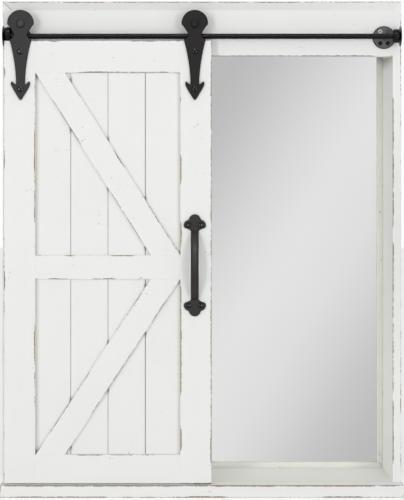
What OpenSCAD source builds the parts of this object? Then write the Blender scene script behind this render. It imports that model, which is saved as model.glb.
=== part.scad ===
// Wall cabinet with a sliding barn door: an open case in two compartments, a mirror in the right one,
// shelves in the left one, and a braced plank door that hangs from a rod on two grooved wheels.
// Millimetres. X runs to the right, Y into the wall, Z up.
// The origin is on the back plane, at the middle of the cabinet's underside.

/* [Case] */
// Width of the case, over the side boards
body_w = 560; // [520:2:620]
// Height of the case, from the underside of the ledge to the top
body_h = 692; // [640:2:760]
// Depth of the case, from the wall to its front edges
body_d = 120; // [110:1:140]
// Thickness of the side and top boards
board_t = 12; // [11:0.5:14]
// Thickness of the bottom board and height of the ledge
bottom_t = 17; // [16:0.5:20]
// How far the ledge stands out past the front edges
ledge_out = 26; // [25:0.5:32]
// Height of the header board behind the rod
header_h = 65; // [60:1:72]
// Thickness of the header board
header_t = 12; // [11:0.5:14]
// Thickness of the upright board between the compartments
divider_t = 12; // [11:0.5:14]
// Height of the rail that the cabinet hangs by
hang_rail_h = 40; // [38:1:48]
// Thickness of the rail that the cabinet hangs by
hang_rail_t = 12; // [11.5:0.5:14]
// Thickness of the back panel
back_t = 3; // [2.5:0.5:4]
// Width of the rebate that holds the back panel
rebate_w = 6; // [5:0.5:7]
// Depth of the grooves that house the boards' ends
dado_deep = 4; // [3:0.5:5]
// Number of shelves in the left compartment
shelf_count = 2; // [2]
// Thickness of a shelf
shelf_t = 10; // [9:0.5:12]
// How far a shelf's front edge lies behind the case's front
shelf_setback = 8; // [6:1:14]

/* [Mirror] */
// Thickness of the mirror glass
glass_t = 3; // [2.5:0.5:4]
// Room round the edge of the glass
glass_play = 0.5; // [0.3:0.1:1]
// Width of the beading on the glass
bead_w = 8.5; // [7.5:0.5:10]
// Thickness of the beading
bead_t = 5; // [4:0.5:7]
// Width of the slope on the beading's inner edge
bead_slope = 3; // [2:0.5:3.5]

/* [Door] */
// Gap between the door's left edge and the outside of the case, at rest
door_inset = 4.3; // [3.8:0.1:5.5]
// How far the door reaches past the middle of the case
door_overlap = 13.3; // [12.5:0.1:15]
// Thickness of the door's frame
door_t = 15; // [14:0.5:17]
// Thickness of the door's planks
plank_t = 8; // [7:0.5:9]
// Width of the door's stiles
stile_w = 43.5; // [41:0.5:48]
// Height of the door's top rail
top_rail_h = 44.5; // [42:0.5:50]
// Height of the door's middle rail
mid_rail_h = 33.5; // [30:0.5:38]
// Height of the door's bottom rail
bottom_rail_h = 40; // [36:0.5:46]
// Height of the middle rail's lower edge above the door's lower edge
mid_rail_up = 284; // [260:1:310]
// Width of a brace, measured level
brace_w = 41.8; // [36:0.2:48]
// Width of an inner plank
plank_w = 52.1; // [48:0.1:56]
// Width of the rebate that holds the planks
plank_rebate = 6; // [5:0.5:7]
// Slope along the planks' front edges
plank_v = 1; // [0.6:0.1:1.5]
// Length of the frame's tenons
tenon_long = 10; // [8:0.5:12]
// Thickness of the frame's tenons
tenon_t = 5; // [4:0.5:6]
// Gap under the door
door_lift = 1.5; // [1:0.1:2.5]
// Gap between the door's top edge and the rod
door_drop = 2.85; // [2:0.05:4]

/* [Rail] */
// Diameter of the rod
rod_d = 7.5; // [7:0.1:8.5]
// Depth of the rod's centre below the top of the case
rod_down = 50.8; // [48:0.2:54]
// Diameter of a bracket's round flange
flange_d = 32; // [30:0.5:35]
// Thickness of a bracket's flange
flange_t = 2.5; // [2:0.25:3]
// Distance of a bracket's centre from the outside of the case
flange_in = 24.5; // [22:0.5:28]
// Diameter of the post that carries the rod
post_d = 4; // [3.5:0.1:4.5]
// Screw holes in a flange, to each side of its centre
flange_hole_x = 5.3; // [5:0.1:6.5]
// Screw holes in a flange, above and below its centre
flange_hole_z = 8.4; // [8:0.1:9.5]
// Diameter of the stop rings on the rod
ring_d = 19.2; // [18:0.2:20]
// Rounding of a stop ring's edges
ring_round = 2.2; // [2:0.1:2.4]
// Thickness of the disc that closes the rod's end
cap_t = 1.6; // [1.4:0.1:2.4]
// Length of the disc's hub, towards the stop ring
cap_hub_long = 0.8; // [0.6:0.1:2]

/* [Hangers] */
// Diameter of a wheel over its flanges
wheel_d = 28; // [26:0.5:30]
// Width of a wheel at its rim
wheel_w = 8; // [7.5:0.25:9]
// Diameter of the bolt that a wheel turns on
axle_d = 5; // [4.5:0.5:6]
// Diameter of the bolt's head
axle_head_d = 11.7; // [10:0.1:13]
// Distance of a hanger's middle from the door's side edge
hanger_in = 23.3; // [22:0.1:24.5]
// Thickness of the strap
strap_t = 3; // [2:0.25:4]
// Radius of the strap's round head
strap_head_r = 18.5; // [18:0.25:20]
// Length of the strap from the bolt to its tip
strap_long = 106; // [100:1:115]
// Depth of the upper screw below the bolt
strap_screw_1 = 38.5; // [36:0.5:42]
// Depth of the lower screw below the bolt
strap_screw_2 = 91; // [88:0.5:93]

/* [Handle] */
// Length of the handle over both plates
pull_long = 142; // [134:1:152]
// Height of the handle's centre above the underside
pull_z = 322; // [300:0.5:345]
// Width of a handle plate
pull_plate_w = 30.8; // [29:0.2:33]
// Radius of a plate's end lobe
lobe_end_r = 8.1; // [7.5:0.1:9]
// Radius of a plate's side lobes
lobe_side_r = 7.3; // [7:0.1:8.2]
// Thickness of a handle plate
pull_plate_t = 3.2; // [2.6:0.2:4]
// Width of the grip
grip_w = 11; // [9:0.5:12.5]
// Thickness of the grip
grip_t = 6; // [5:0.5:7]
// How far the grip stands out from the door
grip_out = 28; // [25:0.5:34]
// Slope along the grip's front edges
grip_slope = 2.4; // [1.8:0.2:2.8]

/* [Wall fixing] */
// Distance between the two keyhole plates
keyhole_apart = 406.4; // [380:0.2:430]
// Height of a keyhole plate
keyhole_plate_h = 36; // [34:0.5:38]
// Width of a keyhole plate
keyhole_plate_w = 14; // [13:0.5:18]
// Thickness of a keyhole plate
keyhole_plate_t = 2; // [1.5:0.25:2.5]
// Diameter of the round part of the keyhole
keyhole_d = 9; // [8:0.25:10]
// Width of the slot of the keyhole
keyhole_slot_w = 4.5; // [4:0.25:5]
// Rise of the slot above the round part
keyhole_rise = 9.5; // [8:0.5:10.5]

/* [Door guide] */
// Length of the guide blade, along the door
blade_long = 24; // [20:1:24]
// Thickness of the guide blade
blade_t = 2; // [1.5:0.25:2.5]
// Height of the blade above the ledge
blade_up = 8; // [6:0.5:9]
// Width of the guide's foot
foot_w = 12; // [11:0.5:13]
// Thickness of the guide's foot
foot_t = 1.5; // [1.2:0.1:2]

/* [Hidden] */
$fn = 64;

// Clearances
run_fit = 0.05;       // round a shaft in its hole
groove_play = 0.3;    // between the rod and a wheel's groove
stop_play = 0.28;     // between a stop ring and what it stops
ring_door_gap = 0.3;  // between the raised stop ring and the door's top edge
ring_hub_gap = 0.3;   // between a stop ring and the end disc's hub
cap_door_gap = 0.3;   // between the end disc and the door's left edge
wheel_side_play = 0.5; // between a wheel's rim and the strap
hub_play = 0.1;       // between a wheel's hub and what holds it
wheel_post_gap = 0.5; // between a wheel and the post below it
flange_gap = 2;       // between the door's back and the brackets' flanges
cap_gap = 0.8;        // between the end disc and the case's front
cut = 1;              // how far a cutting shape runs past the face it cuts

// Paint and metal as the photograph shows them
white = [0.93, 0.93, 0.92];
inner_white = [0.86, 0.86, 0.84];
raw_board = [0.62, 0.48, 0.33];
silver = [0.78, 0.79, 0.79];
black = [0.16, 0.16, 0.15];
rail_black = [0.11, 0.11, 0.10];
iron_grey = [0.36, 0.36, 0.36];
bronze_black = [0.22, 0.20, 0.18];
zinc = [0.70, 0.71, 0.72];

// Case planes
half_w = body_w / 2;
inner_x = half_w - board_t;
front_y = -body_d;
inner_top = body_h - board_t;
header_low = inner_top - header_h;
header_back = front_y + header_t;
rail_low = inner_top - hang_rail_h;
back_front = -back_t;
half_divider = divider_t / 2;

// Shelves, at equal spaces between the bottom and the top
bay_h = (inner_top - bottom_t - shelf_count * shelf_t) / (shelf_count + 1);
function shelf_low(i) = bottom_t + (i + 1) * bay_h + i * shelf_t;
shelf_front = front_y + shelf_setback;

// Door planes
door_gap = flange_t + flange_gap;
door_back = front_y - door_gap;
door_front = door_back - door_t;
door_left = -half_w + door_inset;
door_right = door_overlap;
door_mid = (door_left + door_right) / 2;
door_low = bottom_t + door_lift;
rod_z = body_h - rod_down;
door_top = rod_z - rod_d / 2 - door_drop;

// Opening of the door's frame, and the planks behind it
open_left = door_left + stile_w;
open_right = door_right - stile_w;
open_low = door_low + bottom_rail_h;
open_top = door_top - top_rail_h;
mid_low = door_low + mid_rail_up;
mid_top = mid_low + mid_rail_h;
plank_front = door_back - plank_t;
plank_low = open_low - plank_rebate;
plank_top = open_top + plank_rebate;
tongue_long = 4;
tongue_t = 2.6;

// Tenons, in the middle of the frame's thickness, and thinner ones on the middle rail
tenon_y = (door_back + door_front) / 2;
tenon_edge = 4;
mid_tenon_long = 6;
mid_tenon_share = 0.43; // of the middle rail's thickness
mid_tenon_t = (door_t - plank_t) * mid_tenon_share;

// Kerf under the door, which runs over the guide
guide_y = (door_back + door_front) / 2;
kerf_play = 1;     // to each side of the blade
kerf_top_play = 2.5; // above the blade
kerf_w = blade_t + 2 * kerf_play;
kerf_h = blade_up - door_lift + kerf_top_play;

// Rod, wheels and hangers
rod_y = door_front + wheel_w / 2 + wheel_side_play;
wheel_r = wheel_d / 2;
axle_up = wheel_r + post_d / 2 + wheel_post_gap;
axle_z = rod_z + axle_up;
hanger_x = [door_left + hanger_in, door_right - hanger_in];
hub_half = rod_y - door_front - hub_play;
hub_wall = 2;
hub_r = axle_d / 2 + hub_wall;
web_sink = 1;
rim_w = 4;
rim_slope = 0.6;
web_half = wheel_w / 2 - web_sink;
strap_front = door_front - strap_t;
axle_head_t = 2.5;
nut_gap_y = rod_y + hub_half + hub_play;
nut_t = 4;
nut_across = 8 * axle_d / 5;
bolt_past_nut = 0.8;

// Stop rings: the rod passes off the ring's middle. The left ring is turned up to clear the door
// and meets the left wheel; the right one is turned forward and meets the door's right edge.
ring_r = ring_d / 2;
ring_off = ring_r - (rod_d / 2 + door_drop - ring_door_gap);
stop_reach = sqrt(wheel_r * wheel_r - pow(axle_up - ring_r - ring_off, 2));
ring_in = -hanger_x[0] + stop_reach + stop_play;

// Rod ends
cap_in = cap_door_gap - door_left;
cap_r = front_y - rod_y - cap_gap;
cap_hub_r = rod_d / 2 + 1.7;
ring_w = cap_in - cap_hub_long - ring_hub_gap - ring_in;
bracket_x = half_w - flange_in;
post_tip = rod_y + 0.1;

// Screws: [shank diameter, head diameter, height of the sunk head]
small_screw = [3, 6, 1.6];
strap_screw = [3.5, 8.9, 1.7];
handle_screw = [3, 7, 1.7];
bracket_screw_long = header_t - 1;
door_screw_long = 11;
plate_screw = [2.4, 4.6, 1.2];
plate_screw_long = 8;
pin_d = 1.5;
pin_long = 8;
pin_sink = rebate_w / 2;
side_pins = 5;
bottom_pins = 4;

// Keyhole plates
keyhole_mid_z = (rail_low + inner_top) / 2;
keyhole_down = 4.5;     // from the plate's middle down to the keyhole's round part
keyhole_screw_in = 3.2; // from the plate's end in to a screw
keyhole_entry_z = keyhole_mid_z - keyhole_down;
keyhole_screw_off = keyhole_plate_h / 2 - keyhole_screw_in;
pocket_deep = 6;
pocket_side = 1;

// Handle
pull_x = hanger_x[1];
lobe_up = 7.1;      // from the line of the screws up to the middle of the end lobe
lobe_blend_r = 3.5; // of the curve between the end lobe and a side lobe
lobe_turn = 18;     // degrees that a side lobe runs past the line of the screws
grip_foot_in = 10.2; // from the line of the screws in to the grip's end
grip_run_on = 4;    // degrees that the grip's arc runs on into the plates
grip_back_slope = 0.8;
screw_off = pull_plate_w / 2 - lobe_side_r;
plate_line = pull_long / 2 - lobe_end_r - lobe_up;
grip_half = plate_line - grip_foot_in;
grip_rise = grip_out - grip_t / 2 - pull_plate_t / 2;
grip_r = (grip_half * grip_half + grip_rise * grip_rise) / (2 * grip_rise);
grip_turn = asin(grip_half / grip_r) + grip_run_on;
grip_centre_y = door_front - pull_plate_t / 2 - grip_rise + grip_r;

// Points on a quadratic curve from a to c that leaves and arrives towards b
function curve(a, b, c, steps) = [
    for (i = [0 : steps]) let (t = i / steps)
        a * (1 - t) * (1 - t) + b * 2 * t * (1 - t) + c * t * t
];

// Points on a circle's arc, from angle a0 to angle a1
function arc(centre, r, a0, a1, steps) = [
    for (i = [0 : steps]) let (a = a0 + (a1 - a0) * i / steps)
        centre + r * [cos(a), sin(a)]
];

// The same points on the other side of the middle line, in the opposite order
function mirrored(points) = [
    for (i = [len(points) - 1 : -1 : 0]) [-points[i][0], points[i][1]]
];

// The points without the first one
function after_first(points) = [for (i = [1 : len(points) - 1]) points[i]];

// A box between two corners
module block(low, high) {
    translate(low) cube(high - low);
}

// A round bar along Y, from y0 to y1
module bar_y(d, x, z, y0, y1) {
    translate([x, y0, z]) rotate([-90, 0, 0]) cylinder(d = d, h = y1 - y0);
}

// A round bar along X, from x0 to x1
module bar_x(d, y, z, x0, x1) {
    translate([x0, y, z]) rotate([0, 90, 0]) cylinder(d = d, h = x1 - x0);
}

// A flat outline drawn in X and Z, with its back at y1 and its front at y0
module plate_y(y0, y1) {
    translate([0, y1, 0]) rotate([90, 0, 0]) linear_extrude(y1 - y0) children();
}

// Where the back panel's pins go
function pin_places() = concat(
    [for (side = [-1, 1], i = [0 : side_pins - 1])
        [side * (inner_x + pin_sink), bottom_t + (i + 0.5) * (rail_low - bottom_t) / side_pins]],
    [for (i = [0 : bottom_pins - 1])
        [(i + 0.5 - bottom_pins / 2) * body_w / (bottom_pins + 1), bottom_t - pin_sink]]
);

// Holes for the pins, a running fit larger than the pins
module pin_holes() {
    for (p = pin_places()) bar_y(pin_d + 2 * run_fit, p[0], p[1], -pin_long - run_fit, cut);
}

// Case

// Room for the back panel, open to the wall
module back_rebate() {
    block([-inner_x - rebate_w, back_front, bottom_t - rebate_w], [inner_x + rebate_w, cut, rail_low]);
}

// The bottom board's full outline, which both side boards are notched for
module bottom_block() {
    block([-inner_x - dado_deep, front_y, 0], [inner_x + dado_deep, 0, bottom_t]);
}

// The space of shelf i, with its ends in the grooves
module shelf_block(i) {
    block([-inner_x - dado_deep, shelf_front, shelf_low(i)],
        [-half_divider + dado_deep, back_front, shelf_low(i) + shelf_t]);
}

module side_board(side) {
    difference() {
        mirror([side < 0 ? 0 : 1, 0, 0])
            plate_y(front_y, 0)
                polygon([[-half_w, 0], [-half_w, body_h], [-inner_x, inner_top], [-inner_x, 0]]);
        bottom_block();
        back_rebate();
        for (i = [0 : shelf_count - 1]) shelf_block(i);
        pin_holes();
        bracket_screw_holes(side * bracket_x);
    }
}

module side_left() {
    color(white) side_board(-1);
}

module side_right() {
    color(white) side_board(1);
}

module top_panel() {
    color(white) difference() {
        plate_y(front_y, 0)
            polygon([[-half_w, body_h], [half_w, body_h], [inner_x, inner_top], [-inner_x, inner_top]]);
        divider_block();
    }
}

module bottom_panel() {
    color(inner_white) difference() {
        bottom_block();
        back_rebate();
        divider_block();
        pin_holes();
    }
}

// The board between the compartments: notched round the header and the hanging rail, and housed
// in grooves in the top and bottom boards
module divider_block() {
    translate([half_divider, 0, 0]) rotate([0, -90, 0]) linear_extrude(divider_t)
        polygon([
            [bottom_t - dado_deep, back_front], [bottom_t - dado_deep, front_y],
            [header_low, front_y], [header_low, header_back],
            [inner_top + dado_deep, header_back], [inner_top + dado_deep, -hang_rail_t],
            [rail_low, -hang_rail_t], [rail_low, back_front]
        ]);
}

module divider() {
    color(inner_white) difference() {
        divider_block();
        for (i = [0 : shelf_count - 1]) shelf_block(i);
    }
}

module header_rail() {
    color(white) difference() {
        block([-inner_x, front_y, header_low], [inner_x, header_back, inner_top]);
        bracket_screw_holes(-bracket_x);
        bracket_screw_holes(bracket_x);
    }
}

module base_ledge() {
    color(white) difference() {
        block([-half_w, front_y - ledge_out, 0], [half_w, front_y, bottom_t]);
        guide_foot_block();
        guide_screw_holes();
    }
}

module shelf(i) {
    color(inner_white) shelf_block(i);
}

module shelf_lower() {
    shelf(0);
}

module shelf_upper() {
    shelf(1);
}

module hanging_rail() {
    color(inner_white) difference() {
        block([-inner_x, -hang_rail_t, rail_low], [inner_x, 0, inner_top]);
        for (side = [-1, 1]) {
            keyhole_plate_block(side, cut);
            keyhole_pocket(side);
            keyhole_screw_holes(side);
        }
    }
}

module back_panel() {
    color(raw_board) difference() {
        block([-inner_x - rebate_w, back_front, bottom_t - rebate_w], [inner_x + rebate_w, 0, rail_low]);
        pin_holes();
    }
}

module back_panel_pins() {
    color(zinc) for (p = pin_places()) bar_y(pin_d, p[0], p[1], -pin_long, 0);
}

// Mirror

glass_left = half_divider + glass_play;
glass_right = inner_x - glass_play;
glass_low = bottom_t + glass_play;
glass_top = rail_low - glass_play;
glass_front = back_front - glass_t;

module mirror_glass() {
    color(silver) block([glass_left, glass_front, glass_low], [glass_right, back_front, glass_top]);
}

// A length of beading along X with mitred ends, its outer edge on z = 0 and its inner edge above it
module bead(long) {
    middle = long / 2;
    intersection() {
        translate([-middle, 0, 0]) rotate([90, 0, 90]) linear_extrude(long)
            polygon([[0, 0], [0, bead_w], [-bead_t + bead_slope / 2, bead_w],
                [-bead_t, bead_w - bead_slope], [-bead_t, 0]]);
        plate_y(-bead_t - cut, cut)
            polygon([[-middle, 0], [middle, 0], [middle - bead_w, bead_w], [-middle + bead_w, bead_w]]);
    }
}

bead_mid_x = (half_divider + inner_x) / 2;
bead_mid_z = (bottom_t + rail_low) / 2;
bead_across = inner_x - half_divider;
bead_high = rail_low - bottom_t;

module mirror_bead_bottom() {
    color(white) translate([bead_mid_x, glass_front, bottom_t]) bead(bead_across);
}

module mirror_bead_top() {
    color(white) translate([bead_mid_x, glass_front, rail_low]) rotate([0, 180, 0]) bead(bead_across);
}

module mirror_bead_left() {
    color(white) translate([half_divider, glass_front, bead_mid_z]) rotate([0, 90, 0]) bead(bead_high);
}

module mirror_bead_right() {
    color(white) translate([inner_x, glass_front, bead_mid_z]) rotate([0, -90, 0]) bead(bead_high);
}

// Rail

module rail_rod() {
    color(rail_black) difference() {
        bar_x(rod_d, rod_y, rod_z, -cap_in, cap_in);
        for (side = [-1, 1])
            bar_y(post_d + 2 * run_fit, side * bracket_x, rod_z, rod_y, rod_y + rod_d);
    }
}

// A ring on the rod with rounded edges, whose middle lies off the rod by the vector off
module stop_ring(side, off) {
    difference() {
        translate([side * (ring_in + ring_w / 2), rod_y + off[0], rod_z + off[1]])
            rotate([0, 90, 0]) rotate_extrude() {
                translate([0, -ring_w / 2]) square([ring_r - ring_round, ring_w]);
                translate([0, ring_round - ring_w / 2]) square([ring_r, ring_w - 2 * ring_round]);
                for (k = [-1, 1])
                    translate([ring_r - ring_round, k * (ring_w / 2 - ring_round)]) circle(r = ring_round);
            }
        bar_x(rod_d + 2 * run_fit, rod_y, rod_z, -body_w, body_w);
    }
}

module stop_ring_left() {
    color(rail_black) stop_ring(-1, [0, ring_off]);
}

module stop_ring_right() {
    color(rail_black) stop_ring(1, [-ring_off, 0]);
}

// The end piece: a hub on the rod, and a thin disc with a flared root that closes the rod's end
module rail_end_cap(side) {
    bore_r = rod_d / 2 + run_fit;
    mirror([side < 0 ? 1 : 0, 0, 0])
        translate([0, rod_y, rod_z]) rotate([0, 90, 0]) rotate_extrude()
            polygon(concat(
                [[bore_r, cap_in - cap_hub_long], [cap_hub_r, cap_in - cap_hub_long]],
                curve([cap_hub_r, cap_in - cap_hub_long + 0.3], [cap_hub_r, cap_in],
                    [cap_hub_r + 2, cap_in], 4),
                [[cap_r, cap_in], [cap_r, cap_in + cap_t / 2]],
                curve([cap_r - 0.4, cap_in + cap_t], [cap_r / 2, cap_in + cap_t + 0.5],
                    [0, cap_in + cap_t + 0.5], 4),
                [[0, cap_in], [bore_r, cap_in]]
            ));
}

module rail_end_cap_left() {
    color(rail_black) rail_end_cap(-1);
}

module rail_end_cap_right() {
    color(rail_black) rail_end_cap(1);
}

// Where a flange's four screws go, round the bracket at x
function bracket_holes(x) = [
    for (i = [-1, 1], k = [-1, 1]) [x + i * flange_hole_x, rod_z + k * flange_hole_z]
];

module bracket_screw_holes(x) {
    for (p = bracket_holes(x))
        bar_y(small_screw[0] + 2 * run_fit, p[0], p[1],
            front_y - cut, front_y + bracket_screw_long + run_fit);
}

// A screw along Y: its head is sunk flush with the face at y, and its shank runs to +Y
module sunk_screw(kind, x, z, y, long, room) {
    translate([x, y, z]) rotate([-90, 0, 0]) {
        cylinder(d1 = kind[1] + 2 * room, d2 = kind[0] + 2 * room, h = kind[2]);
        cylinder(d = kind[0] + 2 * room, h = long + room);
    }
}

module rail_bracket(side) {
    x = side * bracket_x;
    difference() {
        union() {
            bar_y(flange_d, x, rod_z, front_y - flange_t, front_y);
            bar_y(post_d, x, rod_z, post_tip, front_y);
        }
        for (p = bracket_holes(x))
            sunk_screw(small_screw, p[0], p[1], front_y - flange_t, bracket_screw_long, run_fit);
    }
}

module rail_bracket_left() {
    color(iron_grey) rail_bracket(-1);
}

module rail_bracket_right() {
    color(iron_grey) rail_bracket(1);
}

module bracket_screws() {
    color(iron_grey) for (side = [-1, 1], p = bracket_holes(side * bracket_x))
        sunk_screw(small_screw, p[0], p[1], front_y - flange_t, bracket_screw_long, 0);
}

// Wall fixing

// A keyhole plate's box, as far as the plane at y
module keyhole_plate_block(side, y) {
    mid_x = side * keyhole_apart / 2;
    block([mid_x - keyhole_plate_w / 2, -keyhole_plate_t, keyhole_mid_z - keyhole_plate_h / 2],
        [mid_x + keyhole_plate_w / 2, y, keyhole_mid_z + keyhole_plate_h / 2]);
}

module keyhole_shape(side) {
    translate([side * keyhole_apart / 2, keyhole_entry_z]) {
        circle(d = keyhole_d);
        translate([-keyhole_slot_w / 2, 0]) square([keyhole_slot_w, keyhole_rise]);
        translate([0, keyhole_rise]) circle(d = keyhole_slot_w);
    }
}

// Room behind the plate for the head of the wall's screw
module keyhole_pocket(side) {
    plate_y(-keyhole_plate_t - pocket_deep, -keyhole_plate_t + cut)
        translate([side * keyhole_apart / 2, keyhole_entry_z]) {
            circle(d = keyhole_d + 2 * pocket_side);
            translate([-keyhole_d / 2 - pocket_side, 0]) square([keyhole_d + 2 * pocket_side, keyhole_rise]);
            translate([0, keyhole_rise]) circle(d = keyhole_d + 2 * pocket_side);
        }
}

// A plate's two screws, driven from the back towards the front
module keyhole_plate_screws(side, room) {
    for (k = [-1, 1])
        translate([side * keyhole_apart / 2, 0, keyhole_mid_z + k * keyhole_screw_off])
            mirror([0, 1, 0]) sunk_screw(plate_screw, 0, 0, 0, plate_screw_long, room);
}

module keyhole_screw_holes(side) {
    keyhole_plate_screws(side, run_fit);
}

module keyhole_plate(side) {
    difference() {
        keyhole_plate_block(side, 0);
        plate_y(-keyhole_plate_t - cut, cut) keyhole_shape(side);
        keyhole_plate_screws(side, run_fit);
    }
}

module keyhole_plate_left() {
    color(zinc) keyhole_plate(-1);
}

module keyhole_plate_right() {
    color(zinc) keyhole_plate(1);
}

module keyhole_screws() {
    color(zinc) for (side = [-1, 1]) keyhole_plate_screws(side, 0);
}

// Door guide: a foot let into the ledge, and a blade that stands in the door's kerf

guide_screw_in = [3.5, 2.9]; // from the foot's end and side in to a screw
guide_screw_x = blade_long / 2 - guide_screw_in[0];
guide_screw_y = foot_w / 2 - guide_screw_in[1];

module guide_foot_block() {
    block([-blade_long / 2, guide_y - foot_w / 2, bottom_t - foot_t],
        [blade_long / 2, guide_y + foot_w / 2, bottom_t + cut]);
}

module guide_screw_pair(room) {
    for (k = [-1, 1])
        translate([k * guide_screw_x, guide_y + k * guide_screw_y, bottom_t]) mirror([0, 0, 1]) {
            cylinder(d1 = plate_screw[1] + 2 * room, d2 = plate_screw[0] + 2 * room, h = plate_screw[2]);
            cylinder(d = plate_screw[0] + 2 * room, h = plate_screw_long + room);
        }
}

module guide_screw_holes() {
    guide_screw_pair(run_fit);
}

module door_guide() {
    color(black) difference() {
        union() {
            block([-blade_long / 2, guide_y - foot_w / 2, bottom_t - foot_t],
                [blade_long / 2, guide_y + foot_w / 2, bottom_t]);
            block([-blade_long / 2, guide_y - blade_t / 2, bottom_t - foot_t],
                [blade_long / 2, guide_y + blade_t / 2, bottom_t + blade_up]);
        }
        guide_screw_holes();
    }
}

module guide_screws() {
    color(black) guide_screw_pair(0);
}

// Door

// The room that the planks fill, behind the frame's opening
module plank_room() {
    block([open_left - plank_rebate, plank_front, plank_low],
        [open_right + plank_rebate, door_back + cut, plank_top]);
}

// The kerf under the whole door
module kerf() {
    block([door_left - cut, guide_y - kerf_w / 2, door_low - cut],
        [door_right + cut, guide_y + kerf_w / 2, door_low + kerf_h]);
}

// The tenons of the rails, as long as the rail and both tenons
module tenon_bars(long, t, y, low, high) {
    block([open_left - long, y - t / 2, low], [open_right + long, y + t / 2, high]);
}

module top_tenons() {
    tenon_bars(tenon_long, tenon_t, tenon_y, plank_top + tenon_edge, door_top - tenon_edge);
}

module bottom_tenons() {
    tenon_bars(tenon_long, tenon_t, tenon_y, door_low + kerf_h + tenon_edge, plank_low - tenon_edge);
}

module mid_tenons() {
    tenon_bars(mid_tenon_long, mid_tenon_t, (plank_front + door_front) / 2,
        mid_low + tenon_edge, mid_top - tenon_edge);
}

module stile(left) {
    difference() {
        block([left, door_front, door_low], [left + stile_w, door_back, door_top]);
        plank_room();
        kerf();
        top_tenons();
        mid_tenons();
        bottom_tenons();
        strap_screw_set(run_fit);
        handle_screw_set(run_fit);
    }
}

module door_stile_left() {
    color(white) stile(door_left);
}

module door_stile_right() {
    color(white) stile(open_right);
}

module door_rail_top() {
    color(white) difference() {
        union() {
            block([open_left, door_front, open_top], [open_right, door_back, door_top]);
            top_tenons();
        }
        plank_room();
    }
}

module door_rail_mid() {
    color(white) union() {
        block([open_left, door_front, mid_low], [open_right, plank_front, mid_top]);
        mid_tenons();
    }
}

module door_rail_bottom() {
    color(white) difference() {
        union() {
            block([open_left, door_front, door_low], [open_right, door_back, open_low]);
            bottom_tenons();
        }
        plank_room();
        kerf();
    }
}

// A brace with level ends, from the left corner at z_left to the right corner at z_right
module brace(z_left, z_right) {
    plate_y(door_front, plank_front)
        polygon([[open_left, z_left], [open_left + brace_w, z_left],
            [open_right, z_right], [open_right - brace_w, z_right]]);
}

module door_brace_upper() {
    color(white) brace(open_top, mid_top);
}

module door_brace_lower() {
    color(white) brace(open_low, mid_low);
}

// Plank i of four, numbered from the left: a tongue on its right edge, a groove in its left one,
// and its front edges sloped where it meets the next plank
function plank_line(i) =
    i == 0 ? open_left - plank_rebate :
    i == 4 ? open_right + plank_rebate :
    door_mid + (i - 2) * plank_w;

module plank(i) {
    left = plank_line(i);
    right = plank_line(i + 1);
    mid_y = (door_back + plank_front) / 2;
    left_v = i > 0 ? plank_v : 0;
    right_v = i < 3 ? plank_v : 0;
    translate([0, 0, plank_low]) linear_extrude(plank_top - plank_low) difference() {
        union() {
            polygon([
                [left, door_back], [left, plank_front + left_v], [left + left_v, plank_front],
                [right - right_v, plank_front], [right, plank_front + right_v], [right, door_back]
            ]);
            if (i < 3) translate([right - cut, mid_y - tongue_t / 2]) square([tongue_long + cut, tongue_t]);
        }
        if (i > 0) translate([left - cut, mid_y - tongue_t / 2]) square([tongue_long + cut, tongue_t]);
    }
}

module door_plank_1() {
    color(white) plank(0);
}

module door_plank_2() {
    color(white) plank(1);
}

module door_plank_3() {
    color(white) plank(2);
}

module door_plank_4() {
    color(white) plank(3);
}

// Hangers

// Half of the strap's outline, from the waist down to the tip, about the bolt's centre
waist = [9, -14.5];
shoulder = [15.3, -21.5];
neck = [6.1, -strap_long + 28];
neck_low = [6.1, -strap_long + 21.8];
barb_in = [11.2, -strap_long + 25.6];
barb_out = [13.2, -strap_long + 22.4];
tip_r = 1.5;
tip = [tip_r * 0.8, -strap_long + tip_r * 0.4];
head_up = 1;
ear_turn = 4;
ear = [0, head_up] + strap_head_r * [cos(ear_turn), -sin(ear_turn)];

function strap_half() = concat(
    curve(ear, [12.6, -6.6], waist, 5),
    curve(waist, [9.6, -19.4], shoulder, 4),
    curve(shoulder, [7.4, (shoulder[1] + neck[1]) / 2], neck, 8),
    curve(neck_low, [8.6, -strap_long + 22.6], barb_in, 4),
    curve(barb_in + [1, 0.4], barb_out + [0.4, 1.8], barb_out, 3),
    curve(barb_out + [-0.3, -1.6], [9.8, -strap_long + 13.5], tip, 6)
);

module strap_outline() {
    polygon(concat(arc([0, head_up], strap_head_r, 180 + ear_turn, -ear_turn, 48),
        strap_half(), mirrored(strap_half())));
}

module hanger(x) {
    difference() {
        plate_y(strap_front, door_front) translate([x, axle_z]) strap_outline();
        bar_y(axle_d + 2 * run_fit, x, axle_z, strap_front - cut, door_front + cut);
        strap_screw_set(run_fit);
    }
}

module hanger_left() {
    color(black) hanger(hanger_x[0]);
}

module hanger_right() {
    color(black) hanger(hanger_x[1]);
}

// A round-headed screw through a strap, with its head on the strap's face
module strap_screw_at(x, z, room) {
    bar_y(strap_screw[0] + 2 * room, x, z, strap_front, door_front + door_screw_long + room);
    translate([x, strap_front, z]) rotate([90, 0, 0])
        cylinder(d1 = strap_screw[1], d2 = strap_screw[1] * 0.6, h = strap_screw[2]);
}

module strap_screw_set(room) {
    for (x = hanger_x, down = [strap_screw_1, strap_screw_2]) strap_screw_at(x, axle_z - down, room);
}

module hanger_screws() {
    color(black) strap_screw_set(0);
}

// The bolt that a wheel turns on, with a low domed head in front of the strap
module axle_bolt(x) {
    head_r = axle_head_d / 2;
    bar_y(axle_d, x, axle_z, strap_front, nut_gap_y + nut_t + bolt_past_nut);
    translate([x, strap_front, axle_z]) rotate([90, 0, 0]) rotate_extrude()
        polygon(concat([[0, 0], [head_r, 0]],
            curve([head_r, axle_head_t * 0.35], [head_r * 0.9, axle_head_t], [0, axle_head_t], 6)));
}

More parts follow.
